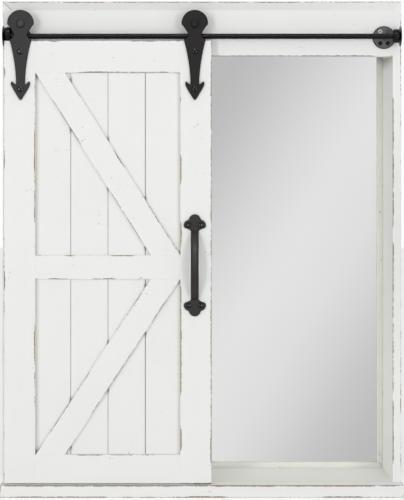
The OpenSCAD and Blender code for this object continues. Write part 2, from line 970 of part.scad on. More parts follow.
module axle_bolt_left() {
    color(black) axle_bolt(hanger_x[0]);
}

module axle_bolt_right() {
    color(black) axle_bolt(hanger_x[1]);
}

module axle_nut(x) {
    translate([x, nut_gap_y, axle_z]) rotate([-90, 0, 0]) difference() {
        cylinder(d = nut_across / cos(30), h = nut_t, $fn = 6);
        translate([0, 0, -cut]) cylinder(d = axle_d + 2 * run_fit, h = nut_t + 2 * cut);
    }
}

module axle_nut_left() {
    color(black) axle_nut(hanger_x[0]);
}

module axle_nut_right() {
    color(black) axle_nut(hanger_x[1]);
}

// A wheel, revolved: hub, sunk web, rim, and a round groove that rides on the rod
module roller(x) {
    rim_in = wheel_r - rim_w;
    rim_half = wheel_w / 2;
    translate([x, rod_y, axle_z]) rotate([90, 0, 0]) rotate_extrude() difference() {
        polygon([
            [axle_d / 2 + run_fit, -hub_half], [hub_r, -hub_half], [hub_r, -web_half],
            [rim_in, -web_half], [rim_in + rim_slope, -rim_half], [wheel_r, -rim_half],
            [wheel_r, rim_half], [rim_in + rim_slope, rim_half], [rim_in, web_half],
            [hub_r, web_half], [hub_r, hub_half], [axle_d / 2 + run_fit, hub_half]
        ]);
        translate([axle_up, 0]) circle(r = rod_d / 2 + groove_play);
    }
}

module roller_left() {
    color(rail_black) roller(hanger_x[0]);
}

module roller_right() {
    color(rail_black) roller(hanger_x[1]);
}

// Handle

// Half of a plate's outline about the line between its screws, its end lobe pointing up: round the
// end lobe, the blend and the side lobe, and in two curves to the grip, which covers the plate's end
function pull_plate_half() =
    let (
        side_at = [screw_off, 0],
        end_at = [0, lobe_up],
        apart = norm(end_at - side_at),
        near = lobe_side_r + lobe_blend_r,
        far = lobe_end_r + lobe_blend_r,
        along = (near * near - far * far + apart * apart) / (2 * apart),
        way = (end_at - side_at) / apart,
        // the blend circle touches the end lobe and the side lobe from outside
        blend_at = side_at + way * along + sqrt(near * near - along * along) * [way[1], -way[0]],
        end_turn = atan2(blend_at[1] - end_at[1], blend_at[0] - end_at[0]),
        side_turn = atan2(blend_at[1] - side_at[1], blend_at[0] - side_at[0]),
        low = side_at + lobe_side_r * [cos(lobe_turn), -sin(lobe_turn)],
        low_bend = low - 0.26 * lobe_side_r * [sin(lobe_turn), cos(lobe_turn)],
        middle = [1.3 * screw_off, -0.68 * lobe_side_r]
    )
    concat(
        arc(end_at, lobe_end_r, 90, end_turn, 12),
        after_first(arc(blend_at, lobe_blend_r, end_turn + 180, side_turn + 180, 5)),
        after_first(arc(side_at, lobe_side_r, side_turn, -lobe_turn, 12)),
        after_first(curve(low, low_bend, middle, 4)),
        after_first(curve(middle, [screw_off, -0.775 * lobe_side_r],
            [1.02 * grip_w / 2, -1.08 * lobe_side_r], 4)),
        [[0.93 * grip_w / 2, -1.13 * lobe_side_r], [0.93 * grip_w / 2, -1.26 * lobe_side_r]]
    );

// A three-lobed plate
module pull_plate() {
    half = pull_plate_half();
    polygon(concat(half, mirrored(after_first(half))));
}

// The grip: a bar with sloped front edges, bowed along a circle's arc from plate to plate
module grip() {
    half = grip_w / 2;
    outer = grip_r + grip_t / 2;
    inner = grip_r - grip_t / 2;
    intersection() {
        translate([pull_x, grip_centre_y, pull_z]) rotate([0, 90, 0]) rotate([0, 0, -90 - grip_turn])
            rotate_extrude(angle = 2 * grip_turn, $fn = 96)
                polygon([
                    [inner, -half + grip_back_slope], [inner + grip_back_slope, -half],
                    [outer - grip_slope, -half], [outer, -half + grip_slope],
                    [outer, half - grip_slope], [outer - grip_slope, half],
                    [inner + grip_back_slope, half], [inner, half - grip_back_slope]
                ]);
        block([pull_x - grip_w, door_front - grip_out - cut, pull_z - pull_long / 2],
            [pull_x + grip_w, door_front, pull_z + pull_long / 2]);
    }
}

module pull_handle() {
    color(bronze_black) difference() {
        union() {
            for (k = [0, 1]) translate([pull_x, 0, pull_z]) mirror([0, 0, k])
                plate_y(door_front - pull_plate_t, door_front) translate([0, plate_line]) pull_plate();
            grip();
        }
        handle_screw_set(run_fit);
    }
}

module handle_screw_set(room) {
    for (i = [-1, 1], k = [-1, 1])
        sunk_screw(handle_screw, pull_x + i * screw_off, pull_z + k * plate_line,
            door_front - pull_plate_t, pull_plate_t + door_screw_long, room);
}

module handle_screws() {
    color(bronze_black) handle_screw_set(0);
}

side_left();
side_right();
top_panel();
bottom_panel();
header_rail();
base_ledge();
divider();
shelf_lower();
shelf_upper();
hanging_rail();
back_panel();
back_panel_pins();
mirror_glass();
mirror_bead_left();
mirror_bead_right();
mirror_bead_top();
mirror_bead_bottom();
rail_rod();
stop_ring_left();
stop_ring_right();
rail_end_cap_left();
rail_end_cap_right();
rail_bracket_left();
rail_bracket_right();
bracket_screws();
keyhole_plate_left();
keyhole_plate_right();
keyhole_screws();
door_guide();
guide_screws();
door_stile_left();
door_stile_right();
door_rail_top();
door_rail_mid();
door_rail_bottom();
door_brace_upper();
door_brace_lower();
door_plank_1();
door_plank_2();
door_plank_3();
door_plank_4();
hanger_left();
hanger_right();
axle_bolt_left();
axle_bolt_right();
axle_nut_left();
axle_nut_right();
hanger_screws();
pull_handle();
handle_screws();
roller_left();
roller_right();
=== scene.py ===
# %% [markdown]
# # A wall cabinet with a sliding barn door
#
# This lesson dresses a cabinet whose solids come from CAD. The case and the door are pine boards under
# white chalk paint that is rubbed through along the arrises. The rod, straps and wheels are black steel,
# and the pull is cast. The CAD solids give every size and place. Where a solid is a plain block, a new
# surface takes its place, worked out with numpy on a grid; where its shape is right, it only gets a finish.

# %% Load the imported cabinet
import math

import bpy
import numpy as np
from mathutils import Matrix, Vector
from mathutils.geometry import tessellate_polygon


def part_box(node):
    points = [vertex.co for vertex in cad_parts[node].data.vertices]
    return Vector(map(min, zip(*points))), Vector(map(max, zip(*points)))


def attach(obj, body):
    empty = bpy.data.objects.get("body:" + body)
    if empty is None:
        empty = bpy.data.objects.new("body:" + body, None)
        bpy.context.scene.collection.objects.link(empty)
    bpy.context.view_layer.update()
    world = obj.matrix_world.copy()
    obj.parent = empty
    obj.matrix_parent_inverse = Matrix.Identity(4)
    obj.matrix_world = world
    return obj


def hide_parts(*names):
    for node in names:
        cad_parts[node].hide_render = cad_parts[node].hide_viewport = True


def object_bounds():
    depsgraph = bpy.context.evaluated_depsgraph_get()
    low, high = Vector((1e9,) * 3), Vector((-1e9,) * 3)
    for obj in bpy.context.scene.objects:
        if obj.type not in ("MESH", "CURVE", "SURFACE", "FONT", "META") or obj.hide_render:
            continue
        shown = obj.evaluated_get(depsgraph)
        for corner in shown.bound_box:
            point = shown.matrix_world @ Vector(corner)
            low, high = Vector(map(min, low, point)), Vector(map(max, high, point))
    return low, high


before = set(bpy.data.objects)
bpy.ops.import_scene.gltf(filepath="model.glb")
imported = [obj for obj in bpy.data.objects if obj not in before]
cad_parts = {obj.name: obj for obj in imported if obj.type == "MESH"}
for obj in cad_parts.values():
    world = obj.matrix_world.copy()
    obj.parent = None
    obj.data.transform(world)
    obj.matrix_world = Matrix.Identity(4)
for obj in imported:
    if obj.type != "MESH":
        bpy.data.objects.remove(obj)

cad_low, cad_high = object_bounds()
scene = bpy.context.scene

# %% [markdown]
# ## The camera
#
# A photograph fixes three things: how far the eye is, how high it is, and how large the object is drawn.
# The perspective of the deep case gives the distance, two metres in front of the front edges. The level
# at which receding edges stay level gives the eye's height. The drawn width then gives the lens. The eye
# isn't at the middle of the picture's height, so the lens is shifted rather than the camera tilted:
# upright boards stay upright.

# %% Camera
PHOTO_HIGH = 500               # the picture's height in pixels
PIXELS_PER_METRE = 711.6       # at the plane of the case's front edges
EYE_TO_FRONT = 2.0
EYE_HEIGHT = 0.392
EYE_ROW = 215.0                # the picture row that lies level with the eye
SENSOR = 36.0
front_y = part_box("side_left")[0].y

camera_data = bpy.data.cameras.new("photo_camera")
camera_data.sensor_width = SENSOR
camera_data.lens = SENSOR * PIXELS_PER_METRE * EYE_TO_FRONT / PHOTO_HIGH
camera_data.shift_y = (EYE_ROW - PHOTO_HIGH / 2) / PHOTO_HIGH
camera_data.clip_start, camera_data.clip_end = 0.01, 60.0
camera = bpy.data.objects.new("photo_camera", camera_data)
camera.location = (0.0, front_y - EYE_TO_FRONT, EYE_HEIGHT)
camera.rotation_euler = (math.radians(90), 0, 0)
scene.collection.objects.link(camera)
scene.camera = camera
scene.view_settings.view_transform = "Standard"
print(f"lens {camera_data.lens:.1f} mm, shift {camera_data.shift_y:.3f}")

# %% [markdown]
# ## Colours and nodes
#
# Colours are written as sRGB hex values, as a paint chart gives them. Shaders work in linear light, so
# one function converts them. A second small function adds any node with its settings and its links.

# %% Helpers for materials
def linear(hex_colour):
    """sRGB to linear: c / 12.92 up to 0.04045, and ((c + 0.055) / 1.055) ** 2.4 above it."""
    c = np.array([int(hex_colour[i:i + 2], 16) for i in (1, 3, 5)]) / 255
    c = np.where(c <= 0.04045, c / 12.92, ((c + 0.055) / 1.055) ** 2.4)
    return (*map(float, c), 1.0)


def connect(tree, node, inputs):
    """Links each input of a node to a socket, or sets it to a value. A text is a hex colour."""
    for key, value in inputs.items():
        if isinstance(value, bpy.types.NodeSocket):
            tree.links.new(value, node.inputs[key])
        else:
            node.inputs[key].default_value = linear(value) if isinstance(value, str) else value


def add(tree, kind, inputs=None, out=None, **settings):
    """Adds one shader node with its settings and inputs, and returns the output that out names, or else
    the first one in use."""
    node = tree.nodes.new("ShaderNode" + kind)
    for key, value in settings.items():
        setattr(node, key, value)
    connect(tree, node, inputs or {})
    return node.outputs[out] if out else next((o for o in node.outputs if o.enabled), None)


def finish_named(name, **settings):
    """A new material with one Principled shader, whose constant values are set on its own sockets."""
    material = bpy.data.materials.new(name)
    material.use_nodes = True
    tree = material.node_tree
    shader = tree.nodes["Principled BSDF"]
    connect(tree, shader, {key.replace("_", " "): value for key, value in settings.items()})
    return material, tree, shader


print(f"#808080 in linear light: {linear('#808080')[0]:.3f}")

# %% [markdown]
# ## Stage and light
#
# The photograph is a catalogue picture: a pure white ground, and two large soft boxes near eye height,
# one to each side. They give every proud piece a soft shadow on both sides. A strip lamp above shows only
# in reflections, as the line of light along the rod. The floor is pale and keeps the object's shadow.

# %% Floor
FLOOR_WIDE, FLOOR_DOWN = 30, 0.0004     # metres: its side, and how far it lies under the cabinet
FLOOR_GLOW = 0.25                       # light of its own, which only the camera sees


def flat_panel(name, centre, across, up, wide, high):
    """A rectangle: centre + u * across * wide + v * up * high, with u and v from -1/2 to 1/2."""
    centre, across, up = (np.array(v, float) for v in (centre, across, up))
    corners = [centre + u * across * wide + v * up * high
               for u, v in ((-0.5, -0.5), (0.5, -0.5), (0.5, 0.5), (-0.5, 0.5))]
    mesh = bpy.data.meshes.new(name)
    mesh.from_pydata([tuple(c) for c in corners], [], [(0, 1, 2, 3)])
    panel = bpy.data.objects.new(name, mesh)
    scene.collection.objects.link(panel)
    return panel


floor = flat_panel("floor", (0, 0, -FLOOR_DOWN), (1, 0, 0), (0, 1, 0), FLOOR_WIDE, FLOOR_WIDE)
floor.visible_glossy = False      # the cabinet hung on a wall when it was photographed
material, tree, shader = finish_named("pale_floor", Roughness=0.9, Base_Color="#f2f2f2",
                                      Emission_Color=(1, 1, 1, 1))
seen = add(tree, "LightPath", out="Is Camera Ray")
glow = add(tree, "Math", {0: seen, 1: FLOOR_GLOW}, operation="MULTIPLY")
connect(tree, shader, {"Emission Strength": glow})
floor.data.materials.append(material)

# %% World
WORLD_LIGHT = 0.615               # what the white room gives the boards, where 1 is what the camera sees
world = bpy.data.worlds.new("studio")
scene.world = world
world.use_nodes = True
tree = world.node_tree
rays = add(tree, "LightPath").node.outputs
seen = rays["Is Camera Ray"]
for ray in ("Is Glossy Ray", "Is Transmission Ray"):
    seen = add(tree, "Math", {0: seen, 1: rays[ray]}, operation="MAXIMUM")
strength = add(tree, "MapRange", {"Value": seen, "To Min": WORLD_LIGHT, "To Max": 1.0})
connect(tree, tree.nodes["Background"], {"Color": (1, 1, 1, 1), "Strength": strength})
print("world light on the boards:", WORLD_LIGHT)

# %% Soft boxes
def soft_box(name, place, target, wide, high, watts):
    """A lamp of wide by high metres at a place, turned by yaw and then pitch so that it faces a target."""
    data = bpy.data.lights.new(name, "AREA")
    data.shape, data.size, data.size_y, data.energy = "RECTANGLE", wide, high, watts
    lamp = bpy.data.objects.new(name, data)
    lamp.location = place
    way = np.array(target, float) - np.array(place, float)
    yaw, pitch = math.atan2(-way[0], way[1]), math.atan2(way[2], math.hypot(way[0], way[1]))
    lamp.rotation_euler = (math.radians(90) + pitch, 0, yaw)
    scene.collection.objects.link(lamp)


# name, place and target in metres, width, height, and watts
LAMPS = (("soft_box_left", (-1.0, -2.25, 0.45), (0, -0.1, 0.40), 0.34, 1.2, 12.6),
         ("soft_box_right", (1.0, -2.25, 0.45), (0, -0.1, 0.40), 0.34, 1.2, 10.9),
         ("strip_above", (0, -2.0, 2.26), (0, -0.1, 0.64), 1.2, 0.12, 26.0))
for lamp in LAMPS:
    soft_box(*lamp)
bpy.data.objects["strip_above"].visible_diffuse = False
print("lamps:", [light.name for light in bpy.data.lights])

# %% [markdown]
# ## Skins
#
# Most pieces here are one closed loop of points carried along a path. The points make a grid, one row
# for each station along the path. Neighbouring rows are joined by quads, and the first and last rows
# are closed by a flat face. The whole grid goes into the mesh as arrays.
#
# Each piece has a role: its material, the body that it rides on, the CAD node that it stands for, and
# the slot of the record that its finish belongs to.

# %% From a grid of points to a piece
RANDOM_VALUES = 1024            # the length of a random line before it repeats, in waves
LINE_START = 64.3               # where a board's end lies on its random line, in waves


def volume(mesh):
    """A sixth of the sum of p0 . (p1 x p2) over the triangles: positive when the faces point outwards."""
    mesh.calc_loop_triangles()
    corners = np.zeros(len(mesh.loop_triangles) * 3, np.int32)
    mesh.loop_triangles.foreach_get("vertices", corners)
    places = np.zeros(len(mesh.vertices) * 3, np.float32)
    mesh.vertices.foreach_get("co", places)
    p = places.reshape(-1, 3)[corners].reshape(-1, 3, 3).astype(float)
    return float(np.einsum("ij,ij->i", p[:, 0], np.cross(p[:, 1], p[:, 2])).sum() / 6)


def put(name, points, faces, role, values=None, uv=None):
    """Makes a piece from an array of points in mm, of any shape, and faces that number them in order.
    values are attributes of the points, and uv is their place on the grain map."""
    material, body, node, slot = role
    mesh = bpy.data.meshes.new(name)
    mesh.from_pydata((points.reshape(-1, 3) / 1000).tolist(), [], faces)
    for key, array in (values or {}).items():
        layer = mesh.attributes.new(key, "FLOAT", "POINT")
        layer.data.foreach_set("value", array.astype(np.float32).ravel())
    if uv is not None:
        corner = np.zeros(len(mesh.loops), np.int32)
        mesh.loops.foreach_get("vertex_index", corner)
        flat = uv.reshape(-1, 2)[corner].astype(np.float32).ravel()
        mesh.uv_layers.new(name="grain").data.foreach_set("uv", flat)
    mesh.shade_smooth()
    if volume(mesh) < 0:
        mesh.flip_normals()
    piece = bpy.data.objects.new(name, mesh)
    scene.collection.objects.link(piece)
    mesh.materials.append(material)
    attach(piece, body)
    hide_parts(node)


def grid_faces(rows, columns, caps=True, start=0):
    """Quads of a grid that is closed around its columns, and a face at each end: outwards when the loop
    runs anticlockwise seen from the path's far end."""
    i, j = np.meshgrid(np.arange(rows - 1), np.arange(columns), indexing="ij")
    k = (j + 1) % columns
    quads = [i * columns + j, i * columns + k, (i + 1) * columns + k, (i + 1) * columns + j]
    faces = (np.stack(quads, -1).reshape(-1, 4) + start).tolist()
    if caps:
        first = np.arange(columns) + start
        faces += [first[::-1].tolist(), (first + (rows - 1) * columns).tolist()]
    return faces


def ripple(s, wave, seed):
    """A smooth random line: v[i] (1 - h) + v[i + 1] h with s / wave = i + f, h = 3 f^2 - 2 f^3, v seeded."""
    table = np.random.default_rng(seed).uniform(-1, 1, RANDOM_VALUES)
    x = s / wave + LINE_START
    i = np.floor(x).astype(int)
    f = x - i
    h = f * f * (3 - 2 * f)
    return table[i % RANDOM_VALUES] * (1 - h) + table[(i + 1) % RANDOM_VALUES] * h


def box_of(node):
    """A node's two corners as arrays, in metres."""
    low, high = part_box(node)
    return np.array(low), np.array(high)


print("a tube of 3 rows and 4 columns has", len(grid_faces(3, 4)), "faces")

# %% [markdown]
# ## Painted pine
#
# The boards are pine under a coat of white chalk paint, which is matt and hides the grain but for a
# trace of it. After painting, the maker rubs the arrises with sandpaper, so thin broken lines of tan wood
# show there, and now and then the grey of an undercoat. Each board carries three values for this: `bare`
# says how far a point lies inside a rubbed stretch, in millimetres, `ash` says how much of the grey
# undercoat is left on the wood there, and the third says how dark the paint is drawn, from 0 to 1: dirt
# in the joints, and painted shade beside steps, in corners and over some stretches of board. Fine
# noise then frays the border of the rubbed stretch, which would be too fine to model.

# %% The paint
LATER = -5.0                    # a value of bare well inside the paint, mm


def painted_pine(name, paint, skin=True):
    """White chalk paint over pine: paint where bare + noise < 0, rubbed wood above it. paint holds the
    coat's two tones and that of the brush's streaks. A CAD mesh has no such values and no grain map, so
    with skin False it is all paint, with its grain along X."""
    material, tree, shader = finish_named(name, IOR=1.45, Specular_IOR_Level=0.35)
    where = add(tree, "TexCoord", out="Object")
    grain, bare, soot_and_shade, ash = where, LATER, 0.0, 0.0
    if skin:
        grain = add(tree, "UVMap", uv_map="grain")
        bare, soot_and_shade, ash = [add(tree, "Attribute", out="Fac", attribute_name=key)
                           for key in ("bare", "soot_and_shade", "ash")]
    # sandpaper leaves a border that frays over 1 to 5 mm
    coarse = add(tree, "TexNoise", {"Vector": where, "Scale": 240.0, "Detail": 3.0})
    fray = add(tree, "MapRange", {"Value": coarse, "From Min": 0.3, "From Max": 0.7,
                                  "To Min": -0.45, "To Max": 0.45})
    inside = add(tree, "Math", {0: bare, 1: fray}, operation="ADD")
    rubbed = add(tree, "MapRange", {"Value": inside, "From Min": -0.25, "From Max": 0.35})
    halo = add(tree, "MapRange", {"Value": inside, "From Min": -1.1, "From Max": 0.1, "To Max": 0.16})
    # pine grain, 1.5 mm wide and 60 mm long
    lines = add(tree, "Mapping", {"Vector": grain, "Scale": (16.0, 700.0, 1.0)})
    streak = add(tree, "TexNoise", {"Vector": lines, "Scale": 1.0, "Detail": 2.0})
    wood = add(tree, "Mix", {"Factor": streak, 6: "#b28a5e", 7: "#7a5a3a"}, data_type="RGBA")
    wood = add(tree, "Mix", {"Factor": ash, 6: wood, 7: "#77756a"}, data_type="RGBA")
    # the coat varies a little in thickness, over a hand's breadth and along the brush
    cloud = add(tree, "TexNoise", {"Vector": where, "Scale": 9.0, "Detail": 2.0})
    brush = add(tree, "MapRange", {"Value": streak, "From Min": 0.62, "From Max": 0.85, "To Max": 0.12})
    # knocks: specks of 1 to 2 mm, only in a few places
    speck = add(tree, "TexNoise", {"Vector": where, "Scale": 310.0, "Detail": 1.0})
    speck = add(tree, "MapRange", {"Value": speck, "From Min": 0.715, "From Max": 0.76})
    few = add(tree, "TexNoise", {"Vector": where, "Scale": 26.0})
    few = add(tree, "MapRange", {"Value": few, "From Min": 0.58, "From Max": 0.66})
    speck = add(tree, "Math", {0: speck, 1: few}, operation="MULTIPLY")
    # each tone lies over the ones before it: the coat's three, knocks, thin paint, wood, and last the dark
    # of dirt and painted shade
    colour = paint[0]
    for share, over in ((cloud, paint[1]), (brush, paint[2]), (speck, "#a39885"), (halo, "#b5ab98"),
                        (rubbed, wood), (soot_and_shade, "#5c574c")):
        colour = add(tree, "Mix", {"Factor": share, 6: colour, 7: over}, data_type="RGBA")
    rough = add(tree, "MapRange", {"Value": rubbed, "To Min": 0.55, "To Max": 0.85})
    # brush strokes and the coat's edge stand up to 0.15 mm, drawn at a third of that
    height = add(tree, "Math", {0: streak, 1: rubbed}, operation="SUBTRACT")
    bump = add(tree, "Bump", {"Height": height, "Strength": 0.35, "Distance": 0.00015})
    connect(tree, shader, {"Base Color": colour, "Roughness": rough, "Normal": bump})
    return material


INNER_TONES = ("#eeefe9", "#ebece5", "#dddfd6")
chalk_white = painted_pine("chalk_paint_on_pine", ("#edeeec", "#eaebe8", "#dededa"))
# the top board's and the beads' paints are shaded copies of the others: drawn darker as painted shade
top_white_shaded = painted_pine("top_paint_on_pine", ("#e8e8e4", "#e5e5e0", "#dadad5"))
inner_white = painted_pine("inner_paint_on_pine", INNER_TONES)
bead_white_shaded = painted_pine("bead_paint_on_pine", ("#e6e7e0", "#e3e4dc", "#d6d8cf"))
rail_white = painted_pine("rail_paint_on_pine", INNER_TONES, skin=False)
print("paints:", [m.name for m in bpy.data.materials if m.name.endswith("on_pine")])

# %% [markdown]
# ## Boards
#
# A board is one skin along its grain. Its section is a rectangle with four rounded arrises. Along the
# board, each arris wears differently: a smooth random line says how much wood is gone, and that line
# widens the rounding, sinks it a little and sets `bare`. So the wear that shows is also in the shape.
# Stretches that are plainly worn on the real cabinet are listed one by one, in metres along the board. An
# arris stays sharp and whole where another board is glued against it.
#
# Four functions share the work: one sets the rows, one wears the arrises, one lays the section's points
# on each row, and the last puts the board in its place.

# %% The board's section
TIGHT, SOFT = 0.15, 0.45        # rounding of a glued arris and of a free one, mm
ARC = np.radians(np.linspace(0, 90, 5))


def section():
    """The loop of a board's section, anticlockwise from the +a face. A point has its corner, the signs of
    a and b there, and its kind: on an arc with its angle, or on an a or b face with its row's number,
    counted from the corner."""
    rows = []
    for k, (sa, sb) in enumerate(((1, 1), (-1, 1), (-1, -1), (1, -1))):
        near, far, arc = ("a", "b", ARC) if k % 2 == 0 else ("b", "a", ARC[::-1])
        rows += [(k, sa, sb, near, d) for d in (2, 1, 0)]
        rows += [(k, sa, sb, "arc", t) for t in arc]
        rows += [(k, sa, sb, far, d) for d in (0, 1, 2, 3)]
    return rows


SECTION = section()
print("board section:", len(SECTION), "points")

# %% The board's skin
VEE, VEE_FROM = 0.8, 0.4        # added rounding where two planks meet in a V, mm, and the soot that marks it
MOST_GONE = 2.2                 # the deepest wear, mm
WORN_ENDS = 9                   # a worn stretch comes and goes over this length, mm
ROW_STEP = 3                    # between two rows along the board, mm


def stations(long, thin):
    """The rows of a board: how far each lies along it, and how far the section has shrunk there. Each
    end has a chamfer of 0.2 mm, and four rows on its flat face, one of them round a small middle."""
    at_end = np.array([0.0, 0.0, 0.0, 0.0, 0.06, 0.2])
    end_in = np.minimum([thin * 0.8, 2.4, 1.0, 0.2, 0.06, 0.0], thin * 0.85)
    between = np.linspace(1.2, long - 1.2, max(3, int(long / ROW_STEP)))
    return (np.concatenate([at_end, between, long - at_end[::-1]]),
            np.concatenate([end_in, 0 * between, end_in[::-1]]))


def wear_along(s, seed, rub, worn, joined):
    """Three tables with a row for each station and a column for each corner: the wear in mm, the share
    of grey undercoat, and whether the arris is free. A rubbed arris wears by 1.3 (rub - 0.62 + 0.75 line)
    with a smooth random line. A worn stretch rises from -0.9 to its own depth as the square root of the
    way in from its ends, and is uneven by a quarter of a millimetre."""
    wear, ash = np.full((len(s), 4), LATER), np.full((len(s), 4), 1.0)
    for k, own in enumerate(rub):
        if own > 0:
            line = 0.55 * ripple(s, 55, seed * 9 + k) + 0.45 * ripple(s, 15, seed * 9 + k + 4)
            wear[:, k] = 1.3 * (own - 0.62 + 0.75 * line)
            ash[:, k] = np.clip(0.75 + 0.5 * ripple(s, 40, seed * 9 + k + 12), 0, 1)
    for k, start, stop, much, grey in worn:
        inside = (np.clip((s - start * 1000) / WORN_ENDS, 0, 1)
                  * np.clip((stop * 1000 - s) / WORN_ENDS, 0, 1))
        uneven = 0.25 * ripple(s, 14, seed * 9 + k + 8) * (inside > 0)
        wear[:, k] = np.maximum(wear[:, k], -0.9 + (much + 0.9) * np.sqrt(inside) + uneven)
        patchy = np.clip(grey + 0.25 * ripple(s, 18, seed * 9 + k + 16), 0, 1)
        ash[:, k] = np.where(inside > 0.1, patchy, ash[:, k])
    free = np.tile([own > 0 or any(w[0] == k for w in worn) for k, own in enumerate(rub)], (len(s), 1))
    for k, start, stop in joined:
        glued = (s > start * 1000 - 0.5) & (s < stop * 1000 + 0.5)
        wear[glued, k], free[glued, k] = LATER, False
    return wear, ash, free


def skin(A, B, shrink, wear, ash, free, soot_and_shade, shade_veil):
    """Five grids with a row for each station and a column for each point of the section: a, b, bare, ash
    and the darkening by grime and painted shade. The point at arc angle t of a corner is
    (sa (A - r + r cos t - sink), sb (B - r + r sin t - sink)). On a face the sink and the painted shadow
    beside a step fade out over the first 6 mm, and bare falls by the distance from the arris."""
    gone_or_shaded = np.clip(wear, 0, MOST_GONE)
    radius = np.where(free, SOFT, TIGHT) + 0.35 * gone_or_shaded + VEE * (np.array(soot_and_shade) > VEE_FROM)
    sink = 0.06 * free + 0.18 * gone_or_shaded
    pa, pb, bare, grey_left, dark = (np.zeros((len(shrink), len(SECTION))) for _ in range(5))
    half_a, half_b = A - shrink, B - shrink
    for j, (k, sa, sb, kind, value) in enumerate(SECTION):
        if kind == "arc":
            r = np.minimum(radius[:, k], 0.9 * np.minimum(half_a, half_b))
            in_a = r * (1 - math.cos(value)) + sink[:, k]
            in_b = r * (1 - math.sin(value)) + sink[:, k]
            far, dirt_and_shade = 0.0, soot_and_shade[k] * math.cos(value)
        else:
            half, shrunk = (B, half_b) if kind == "a" else (A, half_a)
            d = (radius[:, k] + 0.25, min(3.0, half * 0.55), min(6.0, half * 0.8), half)[value]
            d = d * (shrunk / half)
            fade = sink[:, k] * (1.0, 0.45, 0.0, 0.0)[value]
            in_a, in_b = (fade, d) if kind == "a" else (d, fade)
            far = d - radius[:, k]
            dirt_and_shade = soot_and_shade[k] if kind == "a" else shade_veil[k] * (1.0, 0.8, 0.0, 0.0)[value]
        pa[:, j], pb[:, j] = sa * (half_a - in_a), sb * (half_b - in_b)
        bare[:, j], grey_left[:, j], dark[:, j] = wear[:, k] - far, ash[:, k], dirt_and_shade
    return pa, pb, bare, grey_left, dark


# %% A board
def board(name, node, low, high, grain, seed, body="cabinet", paint=chalk_white, rub=(0, 0, 0, 0),
          worn=(), joined=(), soot_and_shade=(0, 0, 0, 0), shade_veil=(0, 0, 0, 0), slant=((0, 0), (0, 0)), lean=0.0,
          end_rub=(0, 0), end_soot=(0, 0), shade_fall=(), shade_spots=()):
    """A board between two corners, in metres. Its section's axes are a and b, and its corners are
    numbered (+a+b, -a+b, -a-b, +a-b). slant moves each end by ka a + kb b, and lean moves the section
    along a for each unit of length.

    Wear: rub is that of each corner, worn holds (corner, from, to, mm, ash), joined holds (corner, from,
    to) where an arris stays whole, and end_rub is that of the two ends. Darkening from 0 to 1, in the
    order of the arguments: grime of the joints on each corner's arc and a face; a painted shadow beside a
    step on the first 6 mm of a corner's b face; a dark joint line on the two ends; painted shade
    (corners, from, to, strength) on the a faces, growing as a square along the board; and painted shade
    (x, z, across, up, strength), in mm, round a place: strength 1.3 (1 - d) up to strength, with d the
    distance in ellipses of that size."""
    low, high = np.array(low) * 1000, np.array(high) * 1000
    g, a, b = {"z": (2, 0, 1), "x": (0, 1, 2)}[grain]
    A, B, long = (high[a] - low[a]) / 2, (high[b] - low[b]) / 2, high[g] - low[g]
    s, shrink = stations(long, min(A, B))
    wear, ash, free = wear_along(s, seed, rub, worn, joined)
    pa, pb, bare, grey_left, dark = skin(A, B, shrink, wear, ash, free, soot_and_shade, shade_veil)
    # wear and dirt of the ends, and painted shade falling along the a faces
    for e, at in enumerate((s, long - s)):
        if end_rub[e] > 0:
            line = ripple(pa + pb * 1.7, 16, seed + 50 + e)
            inside = 1.4 * (end_rub[e] - 0.55 + 0.8 * line) - np.maximum(at, shrink)[:, None]
            bare = np.maximum(bare, inside)
        dark = np.maximum(dark, end_soot[e] * (at < 0.3)[:, None])
    for corners, start, stop, much in shade_fall:
        fall = much * np.clip((s - start * 1000) / (stop * 1000 - start * 1000), 0, 1) ** 2
        faced = np.array([k in corners and kind == "a" for k, _, _, kind, _ in SECTION])
        dark = np.maximum(dark, fall[:, None] * faced)
    cap = shrink > 0.25
    bare[cap] = np.minimum(bare[cap], -shrink[cap, None])
    # places, and spots of painted shade round them
    s = s[:, None]
    share, centre = s / long, (low + high) / 2
    skew = [ka * pa + kb * pb for ka, kb in slant]
    points = np.zeros((*pa.shape, 3))
    points[..., g] = low[g] + (s + (1 - share) * skew[0] + share * skew[1])
    points[..., a] = centre[a] + pa + lean * (s - long / 2)
    points[..., b] = centre[b] + pb
    for x, z, across, up, much in shade_spots:
        away = np.hypot((points[..., 0] - x) / across, (points[..., 2] - z) / up)
        dark = np.maximum(dark, much * np.clip(1.3 * (1 - away), 0, 1))
    # the grain map: along the board and around it, and each board takes its own part of the grain
    step = np.hypot(np.diff(pa, axis=1, prepend=pa[:, :1]), np.diff(pb, axis=1, prepend=pb[:, :1]))
    around = np.cumsum(step, axis=1)
    uv = np.stack([(s + seed * 137.0) / 1000 + 0 * around, (around + seed * 53.0) / 1000], -1)
    put(name, points, grid_faces(*pa.shape), (paint, body, node, "painted_wood"),
        {"bare": bare, "soot_and_shade": dark, "ash": grey_left}, uv)


print("rows of a board of 100 mm:", len(stations(100, 6)[0]))

# %% [markdown]
# ## The case
#
# Two side boards run the full height and meet the top board in mitres. The header board fills the front
# above the two compartments, and the ledge lies in front of the bottom board. Corners are numbered in
# the board's own section: for an upright board 2 is the left front arris and 3 the right front one, and
# for a level board 1 is the upper front arris and 2 the lower front one.

# %% Case boards
half_wide, top = cad_high.x, cad_high.z
header_low, header_high = box_of("header_rail")
ledge_low, ledge_high = box_of("base_ledge")
inner_x, inner_top = header_high[0], header_high[2]
mitre_x, mitre_z = (half_wide + inner_x) / 2, (top + inner_top) / 2
floor_z = ledge_high[2]

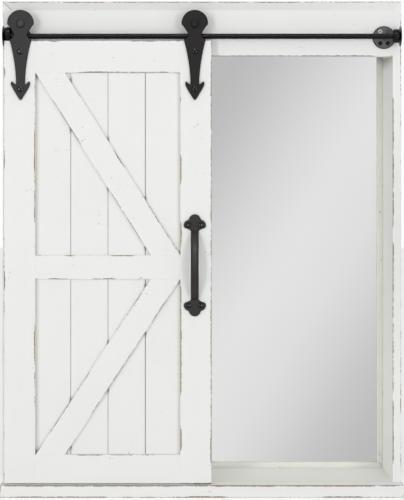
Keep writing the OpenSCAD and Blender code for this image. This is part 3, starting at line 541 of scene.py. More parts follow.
board("side_board_left", "side_left", (-half_wide, front_y, 0), (-inner_x, 0, mitre_z), "z", 1,
      rub=(0.2, 0.3, 0.3, 0.0), soot_and_shade=(0, 0, 0, 0.3), slant=((0, 0), (-1, 0)), end_soot=(0, 0.8),
      worn=((2, 0.66, 0.675, 0.3, 1.0),))
# painted shade: the right side board is drawn darker about its middle height, and on its inner face just
# under the header
board("side_board_right", "side_right", (inner_x, front_y, 0), (half_wide, 0, mitre_z), "z", 2,
      rub=(0.3, 0.2, 0, 0.5), slant=((0, 0), (1, 0)), joined=((2, 0.615, 0.7),),
      worn=((2, 0.038, 0.135, 0.65, 0.75), (2, 0.14, 0.25, 0.35, 0.9), (2, 0.245, 0.36, 0.6, 0.9),
            (2, 0.375, 0.565, 0.55, 1.0), (3, 0.11, 0.14, 0.8, 0.5), (3, 0.03, 0.06, 0.5, 0.8)),
      shade_fall=(((1, 2), 0.602, 0.622, 0.6),), shade_spots=((274, 360, 90, 210, 0.095),))
# painted shade: the top board's paint is drawn darker, and darker still from its right end towards the left
board("top_board", "top_panel", (-mitre_x, front_y, inner_top), (mitre_x, 0, top), "x", 3,
      paint=top_white_shaded, rub=(0.3, 0.5, 0.0, 0.0), slant=((0, -1), (0, 1)), end_soot=(0.5, 0),
      worn=((1, 0.0, 0.08, 0.45, 1.0), (1, 0.078, 0.146, 0.75, 0.25), (1, 0.144, 0.345, 0.45, 1.0),
            (1, 0.341, 0.412, 0.7, 0.4), (1, 0.41, 0.549, 0.4, 1.0)),
      shade_fall=(((1, 2), 0.60, 0.40, 0.085),))
# painted shade: the floor is drawn darker along its front, beside the door's right edge, and faintly over
# most of it
board("bottom_board", "bottom_panel", (-inner_x, front_y, 0), (inner_x, 0, floor_z), "x", 4,
      paint=inner_white, shade_veil=(0, 0.14, 0, 0),
      shade_spots=((10, 12, 100, 200, 0.12), (130, 12, 500, 300, 0.045)))
board("header_board", "header_rail", header_low, header_high, "x", 5, rub=(0, 0, 0.35, 0),
      worn=((2, 0.40, 0.512, 0.45, 0.75), (2, 0.275, 0.41, 0.4, 1.0)))
board("ledge_strip", "base_ledge", ledge_low, ledge_high, "x", 6,
      rub=(0, 0.55, 0.42, 0), end_rub=(0.6, 0.6),
      worn=((1, 0.002, 0.295, 0.75, 0.6), (1, 0.285, 0.525, 0.8, 0.15), (1, 0.52, 0.558, 0.6, 0.9),
            (2, 0.030, 0.152, 0.45, 0.3), (2, 0.254, 0.319, 0.8, 0.2), (2, 0.444, 0.506, 0.7, 0.6)))
print(f"case: {2000 * half_wide:.0f} mm wide and {1000 * top:.0f} mm high")

# %% Inside boards
divider_low, divider_high = box_of("divider")
left_x, right_x = divider_low[0], divider_high[0]
board("divider_board", "divider", (left_x, front_y, floor_z), (right_x, -0.003, header_low[2]), "z", 7,
      paint=inner_white, rub=(0, 0, 0.35, 0.35))
board("divider_head", "divider", (left_x, header_high[1], header_low[2]), (right_x, -0.012, inner_top),
      "z", 8, paint=inner_white)
for number, node in enumerate(("shelf_lower", "shelf_upper")):
    low, high = box_of(node)
    board(node + "_board", node, (-inner_x, low[1], low[2]), (left_x, high[1], high[2]), "x", 9 + number,
          paint=inner_white, rub=(0, 0.3, 0.3, 0))
print(f"left compartment: {1000 * (left_x + inner_x):.0f} mm wide")

# %% [markdown]
# ## The door
#
# The door is a frame of two stiles and three rails, with two braces laid on the planks. Frame and braces
# lie in one plane, 7 mm proud of the planks. Each plank has sloped front edges, so that every joint is a
# narrow V with a dark line at its root. A kerf is sawn under the whole door, in which it runs over the
# guide's blade.

# %% Door frame
BRACE_WIDE = 0.0418             # along the rails, in metres
stile_low, stile_high = box_of("door_stile_left")
right_low, right_high = box_of("door_stile_right")
mid_low, mid_high = box_of("door_rail_mid")
door_left, door_front, door_low = stile_low
open_left, door_back, door_top = stile_high
open_right, door_right = right_low[0], right_high[0]
plank_front, mid_low, mid_top = mid_high[1], mid_low[2], mid_high[2]
open_low, open_top = box_of("door_brace_lower")[0][2], box_of("door_brace_upper")[1][2]
rail_long = open_right - open_left
rails_at = ((0, open_low - door_low), (mid_low - door_low, mid_top - door_low),
            (open_top - door_low, door_top - door_low))

board("stile_left", "door_stile_left", stile_low, stile_high, "z", 21, "door",
      rub=(0, 0.3, 0.3, 0.3), end_rub=(0.5, 0.4), joined=[(3, *ends) for ends in rails_at],
      worn=((3, 0.412, 0.499, 0.5, 0.1), (3, 0.360, 0.414, 0.4, 1.0), (3, 0.169, 0.218, 0.8, 0.2),
            (2, 0.561, 0.582, 0.6, 0.3), (2, 0.432, 0.464, 0.7, 0.3), (2, 0.346, 0.355, 1.0, 0.6),
            (2, 0.265, 0.301, 0.7, 0.3), (2, 0.162, 0.168, 0.8, 0.8), (2, 0.049, 0.055, 0.8, 0.6)))
board("stile_right", "door_stile_right", (open_right, door_front, door_low),
      (door_right, door_back, door_top), "z", 22, "door",
      rub=(0.3, 0, 0.3, 0.3), end_rub=(0.5, 0.3), joined=[(2, *ends) for ends in rails_at],
      worn=((2, 0.526, 0.543, 0.7, 0.4), (2, 0.414, 0.459, 0.85, 0.15), (2, 0.325, 0.368, 0.8, 0.3),
            (2, 0.118, 0.277, 0.75, 0.35), (2, 0.043, 0.082, 0.85, 0.2),
            (3, 0.429, 0.471, 0.55, 0.9), (3, 0.325, 0.343, 0.8, 0.2), (3, 0.123, 0.151, 0.7, 0.1),
            (3, 0.025, 0.075, 0.8, 0.2), (3, 0.02, 0.27, 0.45, 0.6), (3, 0.26, 0.6, 0.35, 1.0)))
board("rail_top", "door_rail_top", (open_left, door_front, open_top), (open_right, door_back, door_top),
      "x", 23, "door", rub=(0, 0.35, 0.3, 0), joined=((2, 0, BRACE_WIDE),),
      worn=((2, 0.065, 0.109, 0.8, 0.2), (2, 0.156, 0.175, 0.7, 0.3), (2, 0.055, 0.19, 0.45, 1.0),
            (1, 0.011, 0.039, 0.5, 0.8), (1, 0.127, 0.170, 0.5, 0.8)))
board("rail_mid", "door_rail_mid", (open_left, door_front, mid_low), (open_right, plank_front, mid_top),
      "x", 24, "door", rub=(0, 0.3, 0.3, 0),
      joined=[(k, rail_long - BRACE_WIDE, rail_long) for k in (1, 2)],
      worn=((1, 0.037, 0.059, 0.5, 0.5), (1, 0.101, 0.142, 0.55, 0.4), (2, 0.016, 0.035, 0.7, 0.2),
            (2, 0.076, 0.116, 0.7, 0.2)))
board("rail_bottom", "door_rail_bottom", (open_left, door_front, door_low),
      (open_right, door_back, open_low), "x", 25, "door", rub=(0, 0.3, 0, 0),
      joined=((1, 0, BRACE_WIDE),), worn=((1, 0.055, 0.100, 0.4, 0.5), (1, 0.143, 0.171, 0.35, 0.5)))
print(f"door: {1000 * (door_right - door_left):.0f} mm wide and {1000 * (door_top - door_low):.0f} mm high")

# %% Braces
run, middle = rail_long - BRACE_WIDE, (open_left + open_right) / 2
for name, low_z, high_z, way, seed, worn in (
        ("brace_upper", mid_top, open_top, -1, 31,
         ((3, 0.12, 0.15, 0.75, 0.2), (3, 0.02, 0.08, 0.3, 1.0), (2, 0.15, 0.22, 0.35, 1.0),
          (2, 0.02, 0.09, 0.3, 1.0))),
        ("brace_lower", open_low, mid_low, 1, 32,
         ((3, 0.188, 0.200, 0.7, 0.3), (3, 0.05, 0.15, 0.3, 1.0), (2, 0.04, 0.12, 0.35, 1.0),
          (2, 0.18, 0.23, 0.2, 1.0)))):
    board(name, "door_" + name, (middle - BRACE_WIDE / 2, door_front, low_z),
          (middle + BRACE_WIDE / 2, plank_front, high_z), "z", seed, "door", rub=(0, 0, 0.38, 0.38),
          lean=way * run / (high_z - low_z), worn=worn)
print(f"braces run {1000 * run:.0f} mm sideways")

# %% [markdown]
# ## The planks
#
# The planks are painted like the frame, but dirt has settled in their joints. The sharp corners of the
# openings and the places where a brace's edge crosses a joint get painted shade, put there by its place:
# each spot is an ellipse. The strips beside the two stiles get a painted shadow.

# %% Planks
joints = [box_of(f"door_plank_{i}")[0][0] for i in (2, 3, 4)]
lines = [open_left, *joints, open_right]
LINE_SOOT = (0, 0.6, 0.5, 1.0, 0)       # dirt on each plank's edge, from the left stile to the right one
LEFT_SHADE, RIGHT_SHADE = 0.2, 0.16       # painted shadow of the two stiles on the planks beside them
spots = [(open_left, open_top, 7, 13, 0.95), (open_left, open_low, 6, 10, 0.95),
         (open_right, mid_top, 5, 10, 0.8), (open_right, mid_low, 5, 10, 0.7)]
for z_left, z_right in ((open_top, mid_top), (open_low, mid_low)):
    for edge in (open_left, open_left + BRACE_WIDE):
        spots += [(x, z_left + (x - edge) / run * (z_right - z_left), 2, 9, 0.9) for x in joints]
spots = [(x * 1000, z * 1000, *rest) for x, z, *rest in spots]
for i in range(4):
    board(f"plank_{i + 1}", f"door_plank_{i + 1}", (lines[i], plank_front, open_low),
          (lines[i + 1], door_back, open_top), "z", 41 + i, "door",
          soot_and_shade=(0, 0, LINE_SOOT[i], LINE_SOOT[i + 1]), shade_spots=spots,
          shade_veil=(0, 0, LEFT_SHADE * (i == 0), RIGHT_SHADE * (i == 3)))
print("spots of dirt on the planks:", len(spots))

# %% The kerf under the door
BLADE, KERF_PLAY, KERF_OVER = 0.002, 0.001, 0.0025  # metres: the guide's blade, the room beside and above
MARGIN = 0.01                                       # how far the cutter stands out of the door, metres


def cut_away(pieces, low, high):
    """Takes the block between two corners out of each piece. Its faces stay flat."""
    ends = np.array([low, high])
    corners = [(ends[i, 0], ends[j, 1], ends[k, 2]) for i in (0, 1) for j in (0, 1) for k in (0, 1)]
    mesh = bpy.data.meshes.new("block")
    mesh.from_pydata(corners, [], [(0, 1, 3, 2), (4, 6, 7, 5), (0, 4, 5, 1), (2, 3, 7, 6), (0, 2, 6, 4),
                                   (1, 5, 7, 3)])
    block = bpy.data.objects.new("block", mesh)
    scene.collection.objects.link(block)
    for piece in pieces:
        cut = piece.modifiers.new("kerf", "BOOLEAN")
        cut.operation, cut.solver, cut.object = "DIFFERENCE", "MANIFOLD", block
        bpy.context.view_layer.update()
        whole = piece.data
        shown = piece.evaluated_get(bpy.context.evaluated_depsgraph_get())
        piece.data = bpy.data.meshes.new_from_object(shown)
        piece.modifiers.clear()
        bpy.data.meshes.remove(whole)
    bpy.data.objects.remove(block)
    bpy.data.meshes.remove(mesh)


guide_low, guide_high = box_of("door_guide")
blade_y = (guide_low[1] + guide_high[1]) / 2
cut_away([bpy.data.objects[name] for name in ("stile_left", "stile_right", "rail_bottom")],
         (door_left - MARGIN, blade_y - BLADE / 2 - KERF_PLAY, door_low - MARGIN),
         (door_right + MARGIN, blade_y + BLADE / 2 + KERF_PLAY, guide_high[2] + KERF_OVER))
print(f"kerf: {1000 * (guide_high[2] + KERF_OVER - door_low):.1f} mm deep")

# %% [markdown]
# ## Behind the door and at the back
#
# The back panel is hardboard, brown; real hardboard is smooth in front, but here the woven pattern of its
# press screen is drawn on both faces. It is held by steel pins. The cabinet hangs by a rail with two zinc
# keyhole plates let into it. These CAD solids have their right shape, so they only get finishes.

# %% Hardboard
def dress(node, material):
    """Gives a CAD node one material."""
    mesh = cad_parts[node].data
    mesh.materials.clear()
    mesh.materials.append(material)
    print(node, "gets", material.name)


hardboard, tree, shader = finish_named("pressed_hardboard", Roughness=0.7)
where = add(tree, "TexCoord", out="Object")
fibre = add(tree, "TexNoise", {"Vector": where, "Scale": 420.0, "Detail": 4.0})
broad = add(tree, "TexNoise", {"Vector": where, "Scale": 14.0, "Detail": 2.0})
tone = add(tree, "Mix", {"Factor": fibre, 6: "#8a6a47", 7: "#6f5338"}, data_type="RGBA")
tone = add(tree, "Mix", {"Factor": broad, 6: tone, 7: "#7b5d3e"}, data_type="RGBA")
# the press screen leaves a weave of 1.6 mm, drawn at 3.2 mm so that it shows
weave = [add(tree, "TexWave", {"Vector": where, "Scale": 100.0, "Distortion": 0.4}, "Fac",
             bands_direction=way) for way in ("X", "Z")]
weave = add(tree, "Math", {0: weave[0], 1: weave[1]}, operation="MULTIPLY")
bump = add(tree, "Bump", {"Height": weave, "Strength": 0.5, "Distance": 0.0003})
connect(tree, shader, {"Base Color": tone, "Normal": bump})
dress("back_panel", hardboard)
dress("hanging_rail", rail_white)

# %% Zinc
zinc, tree, shader = finish_named("zinc_plate", Metallic=1.0)
where = add(tree, "TexCoord", out="Object")
# plating crystals of about 4 mm, and handling marks of about 11 mm
spangle = add(tree, "TexVoronoi", {"Vector": where, "Scale": 260.0}, "Color")
share = add(tree, "SeparateColor", {0: spangle})
tone = add(tree, "Mix", {"Factor": share, 6: "#b9bdbe", 7: "#cdd1d2"}, data_type="RGBA")
marks = add(tree, "TexNoise", {"Vector": where, "Scale": 90.0, "Detail": 2.0})
rough = add(tree, "MapRange", {"Value": marks, "To Min": 0.28, "To Max": 0.5})
bump = add(tree, "Bump", {"Height": marks, "Strength": 0.2, "Distance": 0.0001})
connect(tree, shader, {"Base Color": tone, "Roughness": rough, "Normal": bump})
for node in ("back_panel_pins", "keyhole_plate_left", "keyhole_plate_right", "keyhole_screws"):
    dress(node, zinc)

# %% [markdown]
# ## The mirror
#
# The mirror is float glass, silvered on its back. A polished metal gives the same reflection. Four
# mitred mouldings hold it: a flat top, a slope towards the glass, and a shadow line where they meet.
#
# The photograph's mirror shows neither the cabinet's inside nor the room, only grey with one bright
# slanting band, as retouched pictures do. So a card with that band stands just in front of the glass.
# Only reflections see it. For light that has already met a board the card isn't there, so the glass
# throws the soft boxes' light back into the cabinet as a real mirror does.

# %% Silvered glass
silvered, tree, shader = finish_named("silvered_glass", Metallic=1.0)
where = add(tree, "TexCoord", out="Object")
film = add(tree, "TexNoise", {"Vector": where, "Scale": 6.0, "Detail": 1.0})
tone = add(tree, "Mix", {"Factor": film, 6: "#fbfcfb", 7: "#f7f8f7"}, data_type="RGBA")
rough = add(tree, "MapRange", {"Value": film, "To Min": 0.01, "To Max": 0.02})
connect(tree, shader, {"Base Color": tone, "Roughness": rough})
dress("mirror_glass", silvered)

# %% Mouldings
BEAD = np.array([(0, 0), (0, 1.5), (0, 3), (0, 4.3), (0.1, 4.7), (0.3, 4.9), (0.7, 5), (2, 5), (3.6, 5),
                 (5.1, 5), (5.5, 4.97), (5.9, 4.8), (7, 4.25), (8.0, 3.75), (8.3, 3.6), (8.45, 3.4),
                 (8.5, 3.1), (8.5, 2), (8.5, 1), (8.5, 0.2), (8.5, 0), (6, 0), (3, 0)])
SCUFF_LONG, SCUFF_FADE = 40, 12     # mm: the scuffed end of a bead, and where it fades
HIDDEN, SHADE_FALL = 14, 17          # mm: what the header hides of a bead, and the fade of its painted shadow before it


def moulding(name, start, along, inward, long, seed, shade_fall=0.0, scuff=0.0, ash=0.4):
    """The profile (u inwards, v off the glass) carried along one side. The station of a point is
    u + t (long - 2 u) for t from 0 to 1, so both ends are cut at 45 degrees. Its top wavers by 0.12 mm,
    and its outer arris wears by -1.6 + 1.4 line, with smooth random lines. A painted shadow of the header,
    of the strength given, grows as a square towards the far end. scuff wears the flat top thin near the
    start, and ash is the share of grey undercoat on the bare wood."""
    t = np.linspace(0, 1, max(8, int(long / 4)))[:, None]
    u, v = BEAD.T[:, None]
    station = u + t * (long - 2 * u)
    worn = 0.12 * ripple(station, 70, seed) * (v > 4)
    start, along, inward, off = (np.array(w, float) for w in (start, along, inward, (0, -1, 0)))
    points = (start * 1000 + station[..., None] * along + (u + 0 * t)[..., None] * inward
              + (v - np.abs(worn))[..., None] * off)
    bare = -1.6 + 1.4 * ripple(station, 30, seed + 1) - 6 * (np.abs(u - 0.4) > 1.0)
    scuffed = scuff * np.clip((SCUFF_LONG - station) / SCUFF_FADE, 0, 1) * (u < 6.0)
    bare = np.maximum(bare, LATER + scuffed)
    # a painted shadow of the header, growing towards the far end
    corner = np.clip((station - (long - HIDDEN - SHADE_FALL)) / SHADE_FALL, 0, 1) ** 2
    dark = np.maximum(0.55 * ((u > 8.4) & (v < 1.5)), shade_fall * corner)
    around = np.cumsum(np.hypot(*np.diff(BEAD, axis=0, prepend=BEAD[:1]).T))
    uv = np.stack([(station + seed * 91) / 1000, (around + 0 * t + seed * 37) / 1000], -1)
    role = (bead_white_shaded, "cabinet", "mirror_" + name, "painted_wood")
    put(name, points, grid_faces(*points.shape[:2]), role,
        {"bare": bare, "soot_and_shade": dark, "ash": ash + 0 * bare}, uv)


glass_y = box_of("mirror_glass")[0][1]
(x0, _, z0), (x1, _, z1) = box_of("mirror_bead_left")[0], box_of("mirror_bead_right")[1]
across, upward = (x1 - x0) * 1000, (z1 - z0) * 1000
moulding("bead_bottom", (x0, glass_y, z0), (1, 0, 0), (0, 0, 1), across, 61)
moulding("bead_top", (x1, glass_y, z1), (-1, 0, 0), (0, 0, -1), across, 64)
moulding("bead_left", (x0, glass_y, z1), (0, 0, -1), (1, 0, 0), upward, 67)
moulding("bead_right", (x1, glass_y, z0), (0, 0, 1), (-1, 0, 0), upward, 70,
         shade_fall=0.6, scuff=4.65, ash=0.0)
print(f"mirror: {across:.0f} by {upward:.0f} mm over its mouldings")

# %% The card that the mirror shows
CARD_GAP = 0.006                   # in front of the glass, clear of the mouldings
SILVER = 0.957                     # how much light the silvering gives back
BAND_RISE = 1.6                    # how steeply the band stands, metres up for each metre across
BAND_FROM, BAND_TO = -0.535, 0.36  # where the band's tones begin and end, as BAND_RISE x - z in metres
BAND = ((0.0, "#bbbbbb"), (0.09, "#c2c2c2"), (0.2, "#cfcfcf"), (0.3, "#dadada"), (0.41, "#e2e2e2"),
        (0.46, "#e3e3e3"), (0.51, "#e2e2e2"), (0.62, "#dedede"), (0.73, "#d4d4d4"), (0.83, "#c8c8c8"),
        (0.94, "#bebebe"), (1.0, "#bbbbbb"))
card = flat_panel("mirror_card", ((x0 + x1) / 2, glass_y - CARD_GAP, (z0 + z1) / 2), (-1, 0, 0),
                  (0, 0, 1), x1 - x0, z1 - z0)
card.visible_camera = card.visible_diffuse = card.visible_shadow = card.visible_transmission = False
material = bpy.data.materials.new("card_light")
material.use_nodes = True
tree = material.node_tree
tree.nodes.clear()
place = add(tree, "TexCoord", out="Object")
along = add(tree, "VectorMath", {0: place, 1: (BAND_RISE, 0.0, -1.0)}, operation="DOT_PRODUCT")
along = add(tree, "MapRange", {"Value": along, "From Min": BAND_FROM, "From Max": BAND_TO})
tone = add(tree, "ValToRGB", {"Fac": along})
ramp = tone.node.color_ramp
while len(ramp.elements) < len(BAND):
    ramp.elements.new(0.5)
for element, (at, colour) in zip(ramp.elements, BAND):
    element.position, element.color = at, linear(colour)
glow = add(tree, "Emission", {"Color": tone, "Strength": 1 / SILVER})
depth = add(tree, "LightPath", out="Diffuse Depth")
met = add(tree, "Math", {0: depth, 1: 0.5}, operation="GREATER_THAN")
shown = add(tree, "MixShader", {0: met, 1: glow, 2: add(tree, "BsdfTransparent")})
add(tree, "OutputMaterial", {"Surface": shown})
card.data.materials.append(material)
print("tones of the band:", len(BAND))

# %% [markdown]
# ## Black steel
#
# The straps are laser-cut steel under a matt black powder coat, drawn darker and a trace browner on the
# right one as painted shade. The bolt is phosphated, the rod and its fittings have a smoother black paint,
# the brackets' flanges are dark grey, and one of their screws is dull zinc. The cast pull has an oiled
# bronze paint, drawn a little darker on its plates as painted shade. Arrises, rims and recesses are drawn
# darker as painted shade where `edge` is 1, and the glints on the screws are painted highlights. One
# function makes them, because they differ only in tone, gloss and grain.

# %% Coats on steel
DRIFT_SCALE, GLOSS_SPREAD = 50.0, 0.08      # a drift of 20 mm, and what the grain adds to the roughness


def coated_steel(name, tone, other, edge_shade_tone, rough, specular, grain_mm, raised_mm):
    """A paint or powder coat: two tones that drift over 20 mm, a darker third one as painted shade on
    arrises, rims and recesses, a pale tone as painted highlights at glints, and a fine orange-peel grain.
    A grain too fine for the picture is drawn at the size given."""
    material, tree, shader = finish_named(name, IOR=1.5, Specular_IOR_Level=specular)
    where = add(tree, "TexCoord", out="Object")
    drift = add(tree, "TexNoise", {"Vector": where, "Scale": DRIFT_SCALE, "Detail": 2.0})
    drift = add(tree, "MapRange", {"Value": drift, "From Min": 0.35, "From Max": 0.65})
    edge, painted_glint = [add(tree, "Attribute", out="Fac", attribute_name=key) for key in ("edge", "painted_glint")]
    colour = tone
    # the edge tone is painted shade on arrises, rims and recesses, and the pale tone painted highlights at
    # glints
    for share, over in ((drift, other), (edge, edge_shade_tone), (painted_glint, "#b9b7b2")):
        colour = add(tree, "Mix", {"Factor": share, 6: colour, 7: over}, data_type="RGBA")
    peel = add(tree, "TexNoise", {"Vector": where, "Scale": 1000.0 / grain_mm, "Detail": 2.0})
    gloss = add(tree, "MapRange", {"Value": peel, "To Min": rough - GLOSS_SPREAD,
                                   "To Max": rough + GLOSS_SPREAD})
    bump = add(tree, "Bump", {"Height": peel, "Strength": 0.4, "Distance": raised_mm / 1000})
    connect(tree, shader, {"Base Color": colour, "Roughness": gloss, "Normal": bump})
    return material


strap_black = coated_steel("black_powder_coat", "#2a2a29", "#262625", "#070707", 0.55, 0.24, 1.6, 0.05)
# the right strap's coat, drawn darker and browner as painted shade
strap_black_shaded = coated_steel("black_powder_coat_shaded", "#1f1c1b", "#1a1918", "#050505", 0.55, 0.15, 1.6, 0.05)
bolt_black = coated_steel("black_phosphate_steel", "#343436", "#2f2f31", "#050505", 0.5, 0.3, 1.6, 0.03)
rod_black = coated_steel("black_satin_paint", "#060606", "#050505", "#020202", 0.27, 0.14, 2.4, 0.01)
screw_black = coated_steel("black_oxide_steel", "#0e0e0e", "#0c0c0c", "#020202", 0.25, 0.2, 2.0, 0.01)
flange_grey = coated_steel("dark_grey_paint", "#5e5e5f", "#58585a", "#161616", 0.5, 0.3, 1.8, 0.03)
zinc_grey = coated_steel("dull_zinc_plate", "#d4d4d3", "#cccccb", "#030303", 0.4, 0.4, 2.0, 0.01)
cast_black = coated_steel("oiled_bronze_paint", "#292521", "#241f1c", "#080706", 0.45, 0.29, 2.6, 0.08)
# the plates' coat, drawn darker than the grip as painted shade
plate_black_shaded = coated_steel("oiled_bronze_paint_shaded", "#221f1b", "#1e1a17", "#080706", 0.45, 0.29, 2.6, 0.08)
print("materials so far:", len(bpy.data.materials))

# %% Turned shapes
AXES = {"x": ((1, 0, 0), (0, 1, 0), (0, 0, 1)), "y": ((0, 1, 0), (0, 0, 1), (1, 0, 0))}


def turned(name, profile, centre, axis, role, turns=56, hollow=False, edge=()):
    """Points (h, r) of a profile in mm turned about an axis through centre: centre + h axis + r (u cos t
    + v sin t). A hollow one has a closed profile; edge lists the rows that count as arrises."""
    h, r = np.array(profile, float).T
    t = np.linspace(0, 2 * np.pi, turns, endpoint=False)
    way, u, v = np.array(AXES[axis])
    ring = np.cos(t)[:, None] * u + np.sin(t)[:, None] * v
    points = np.array(centre) * 1000 + h[:, None, None] * way + r[:, None, None] * ring
    rows = len(h)
    faces = grid_faces(rows, turns, caps=not hollow)
    if hollow:
        j = np.arange(turns)
        k = (j + 1) % turns
        last = (rows - 1) * turns
        faces += np.stack([last + j, last + k, k, j], -1).tolist()
    values = np.zeros((rows, turns))
    values[list(edge)] = 1
    put(name, points, faces, role, {"edge": values})


def mirrored(profile):
    """The profile's mirror image about h = 0, in the order that carries on from it."""
    return [(-h, r) for h, r in profile[::-1]]


print("a profile and its mirror image:", [(-2, 1), (-1, 3)] + mirrored([(-2, 1), (-1, 3)]))

# %% Cut plates
ROUND = 24                      # points round a hole


def inset(loop, by):
    """A closed anticlockwise loop moved inwards: each point moves by (n0 + n1) / (1 + n0 . n1), where n0
    and n1 are the normals of the two edges that meet there."""
    way = np.roll(loop, -1, 0) - loop
    way /= np.linalg.norm(way, axis=1, keepdims=True)
    n1 = np.stack([way[:, 1], -way[:, 0]], 1)
    n0 = np.roll(n1, 1, 0)
    return loop - by * (n0 + n1) / np.maximum(1 + (n0 * n1).sum(1), 0.35)[:, None]


def cut_plate(name, outline, holes, thick, arris, centre, role, rim=0.2, cone_shade=1.0):
    """A flat plate that faces -Y: its outline (x, z) in mm about centre, whose y is its back. The front
    arris is a quarter circle, drawn darker as painted shade, and so is the next rim mm, fading. A hole is
    (x, z, radius in front, radius behind, depth of the cone), with painted shade of strength cone_shade in
    the cone. Outline and holes are each a tube of loops (points, depth, painted shade), and the front and
    back faces are filled between them."""
    steps = [(0.0, 0.0, 0.0)]
    steps += [(arris * (1 - math.cos(a)), thick - arris + arris * math.sin(a), 1.0) for a in ARC]
    steps += [(arris + 0.6 * rim, thick, 0.85), (arris + rim, thick, 0.0)]
    tubes = [[(inset(outline, by), depth, gone_or_shaded) for by, depth, gone_or_shaded in steps]]
    t = np.linspace(0, -2 * np.pi, ROUND, endpoint=False)
    circle = np.stack([np.cos(t), np.sin(t)], 1)
    for x, z, wide, narrow, cone in holes:
        steps = ((wide + 0.4, thick, 0), (wide + 0.15, thick, 0), (wide, thick - 0.12, 1),
                 (narrow, thick - cone, 1), (narrow, 0.0, 1))
        tubes.append([(np.array([x, z]) + r * circle, depth, cone_shade * gone_or_shaded) for r, depth, gone_or_shaded in steps])
    points, values, faces, total = [], [], [], 0
    front, back = [], []
    for number, tube in enumerate(tubes):
        n = len(tube[0][0])
        for loop, depth, gone_or_shaded in tube:
            points.append(np.column_stack([loop[:, 0], np.full(n, -depth), loop[:, 1]]))
            values.append(np.full(n, gone_or_shaded))
        faces += grid_faces(len(tube), n, caps=False, start=total)
        first = (tube[0][0], np.arange(n) + total)
        last = (tube[-1][0], np.arange(n) + total + (len(tube) - 1) * n)
        back.append(last if number else first)
        front.append(first if number else last)
        total += len(tube) * n
    for side, faces_front in ((front, True), (back, False)):
        flat = np.concatenate([loop for loop, _ in side])
        names = np.concatenate([at for _, at in side])
        three = np.array(tessellate_polygon([[Vector((*p, 0)) for p in loop] for loop, _ in side]))
        a, b, c = (flat[three[:, i]] for i in range(3))
        area = (b[:, 0] - a[:, 0]) * (c[:, 1] - a[:, 1]) - (b[:, 1] - a[:, 1]) * (c[:, 0] - a[:, 0])
        three = np.where(((area > 0) == faces_front)[:, None], three, three[:, ::-1])
        faces += names[three[np.abs(area) > 1e-9]].tolist()
    places = np.concatenate(points) + np.array(centre) * 1000
    put(name, places, faces, role, {"edge": np.concatenate(values)})


square = np.array([(0, 0), (4, 0), (4, 4), (0, 4)], float)
print("a square moved in by 1:", inset(square, 1).tolist())

# %% Screws
SCREW_TURNS, HEAD_ROWS = 72, 30


def screw(name, centre, role, head_r, dome, slot_turn, shank_r=1.5, long=10.0, sunk=0.0, recess=1.0,
          arm_wide=0.15, shade=0.78, glints=()):
    """A cross-recess screw that faces -Y. Its head's height over radius r and angle t is
    dome (1 - (r / R)^2) less the recess, which is deep where the distance from either arm is small. The
    recess, and the head beyond the share shade of its radius, are drawn dark as painted shade. Each glint
    (x / R, z / R, strength) is a painted highlight in a pale tone."""
    t = np.linspace(0, 2 * np.pi, SCREW_TURNS, endpoint=False)[None]
    behind = np.array([(-long, 0.1), (-long + 1.5, shank_r), (-0.01 - sunk, shank_r),
                       (-sunk, shank_r + 0.01), (0.0, head_r - 0.05)])
    r = head_r * np.linspace(1, 0.02, HEAD_ROWS)[:, None]
    x, z = r * np.cos(t - slot_turn), r * np.sin(t - slot_turn)
    thin, far = np.minimum(np.abs(x), np.abs(z)), np.maximum(np.abs(x), np.abs(z))
    arm = (np.clip((arm_wide * head_r - thin) / (0.09 * head_r), 0, 1)
           * np.clip((0.55 * head_r - far) / (0.25 * head_r), 0, 1))
    edge = 0.35 * (r < head_r * 0.995) * min(1, dome)
    height = edge + dome * (1 - (r / head_r) ** 2) - recess * arm
    h = np.concatenate([behind[:, :1] + 0 * t, height])
    radii = np.concatenate([behind[:, 1:] + 0 * t, r + 0 * t])
    points = np.array(centre) * 1000 + np.stack([radii * np.cos(t), -h, radii * np.sin(t)], -1)
    rim = np.clip((r / head_r - shade) / 0.06, 0, 1)
    u, v = r * np.cos(t) / head_r, r * np.sin(t) / head_r
    painted_glint = sum((much * np.clip(1.4 - np.hypot((u - gx) / 0.17, (v - gz) / 0.24), 0, 1)
                  for gx, gz, much in glints), 0 * u)
    shaft = np.ones((len(behind), SCREW_TURNS))
    values = {"edge": np.concatenate([shaft, np.maximum(0.9 * arm, rim)]),
              "painted_glint": np.concatenate([0 * shaft, painted_glint])}
    put(name, points, grid_faces(*h.shape), role, values)


print("a screw has", (5 + HEAD_ROWS) * SCREW_TURNS, "points")

# %% [markdown]
# ## Rod, brackets and stops
#
# The rod runs the whole width, on two short posts that stand on round flanges. A thin disc closes each
# end. Inside each disc sits a stop ring with its hole off the middle, turned so that it clears the door
# on the left and catches the door's edge on the right.

# %% Rod and its ends
RING_SOFT = 2.2                          # rounding of a stop ring's shoulders, mm
HUB_OVER, HUB_LONG, FLARE = 1.7, 0.8, 2.4      # a disc's hub: over the rod's radius, its length, its flare
rod_low, rod_high = box_of("rail_rod")
ring_low, ring_high = box_of("stop_ring_left")
rod_y, rod_z = (ring_low[1] + ring_high[1]) / 2, (rod_low[2] + rod_high[2]) / 2
rod_r, rod_half = (rod_high[2] - rod_low[2]) * 500, rod_high[0] * 1000


def ring_profile(half, r):
    """From one face to the other: each shoulder is (half - q + q sin a, r - q + q cos a), q RING_SOFT."""
    shoulder = [(-half + RING_SOFT * (1 - math.sin(a)), r - RING_SOFT * (1 - math.cos(a)))
                for a in np.radians(np.linspace(0, 90, 7))[::-1]]
    one_end = [(-half, 1.0), (-half, r - RING_SOFT - 1.0)] + shoulder
    return one_end + mirrored(one_end)


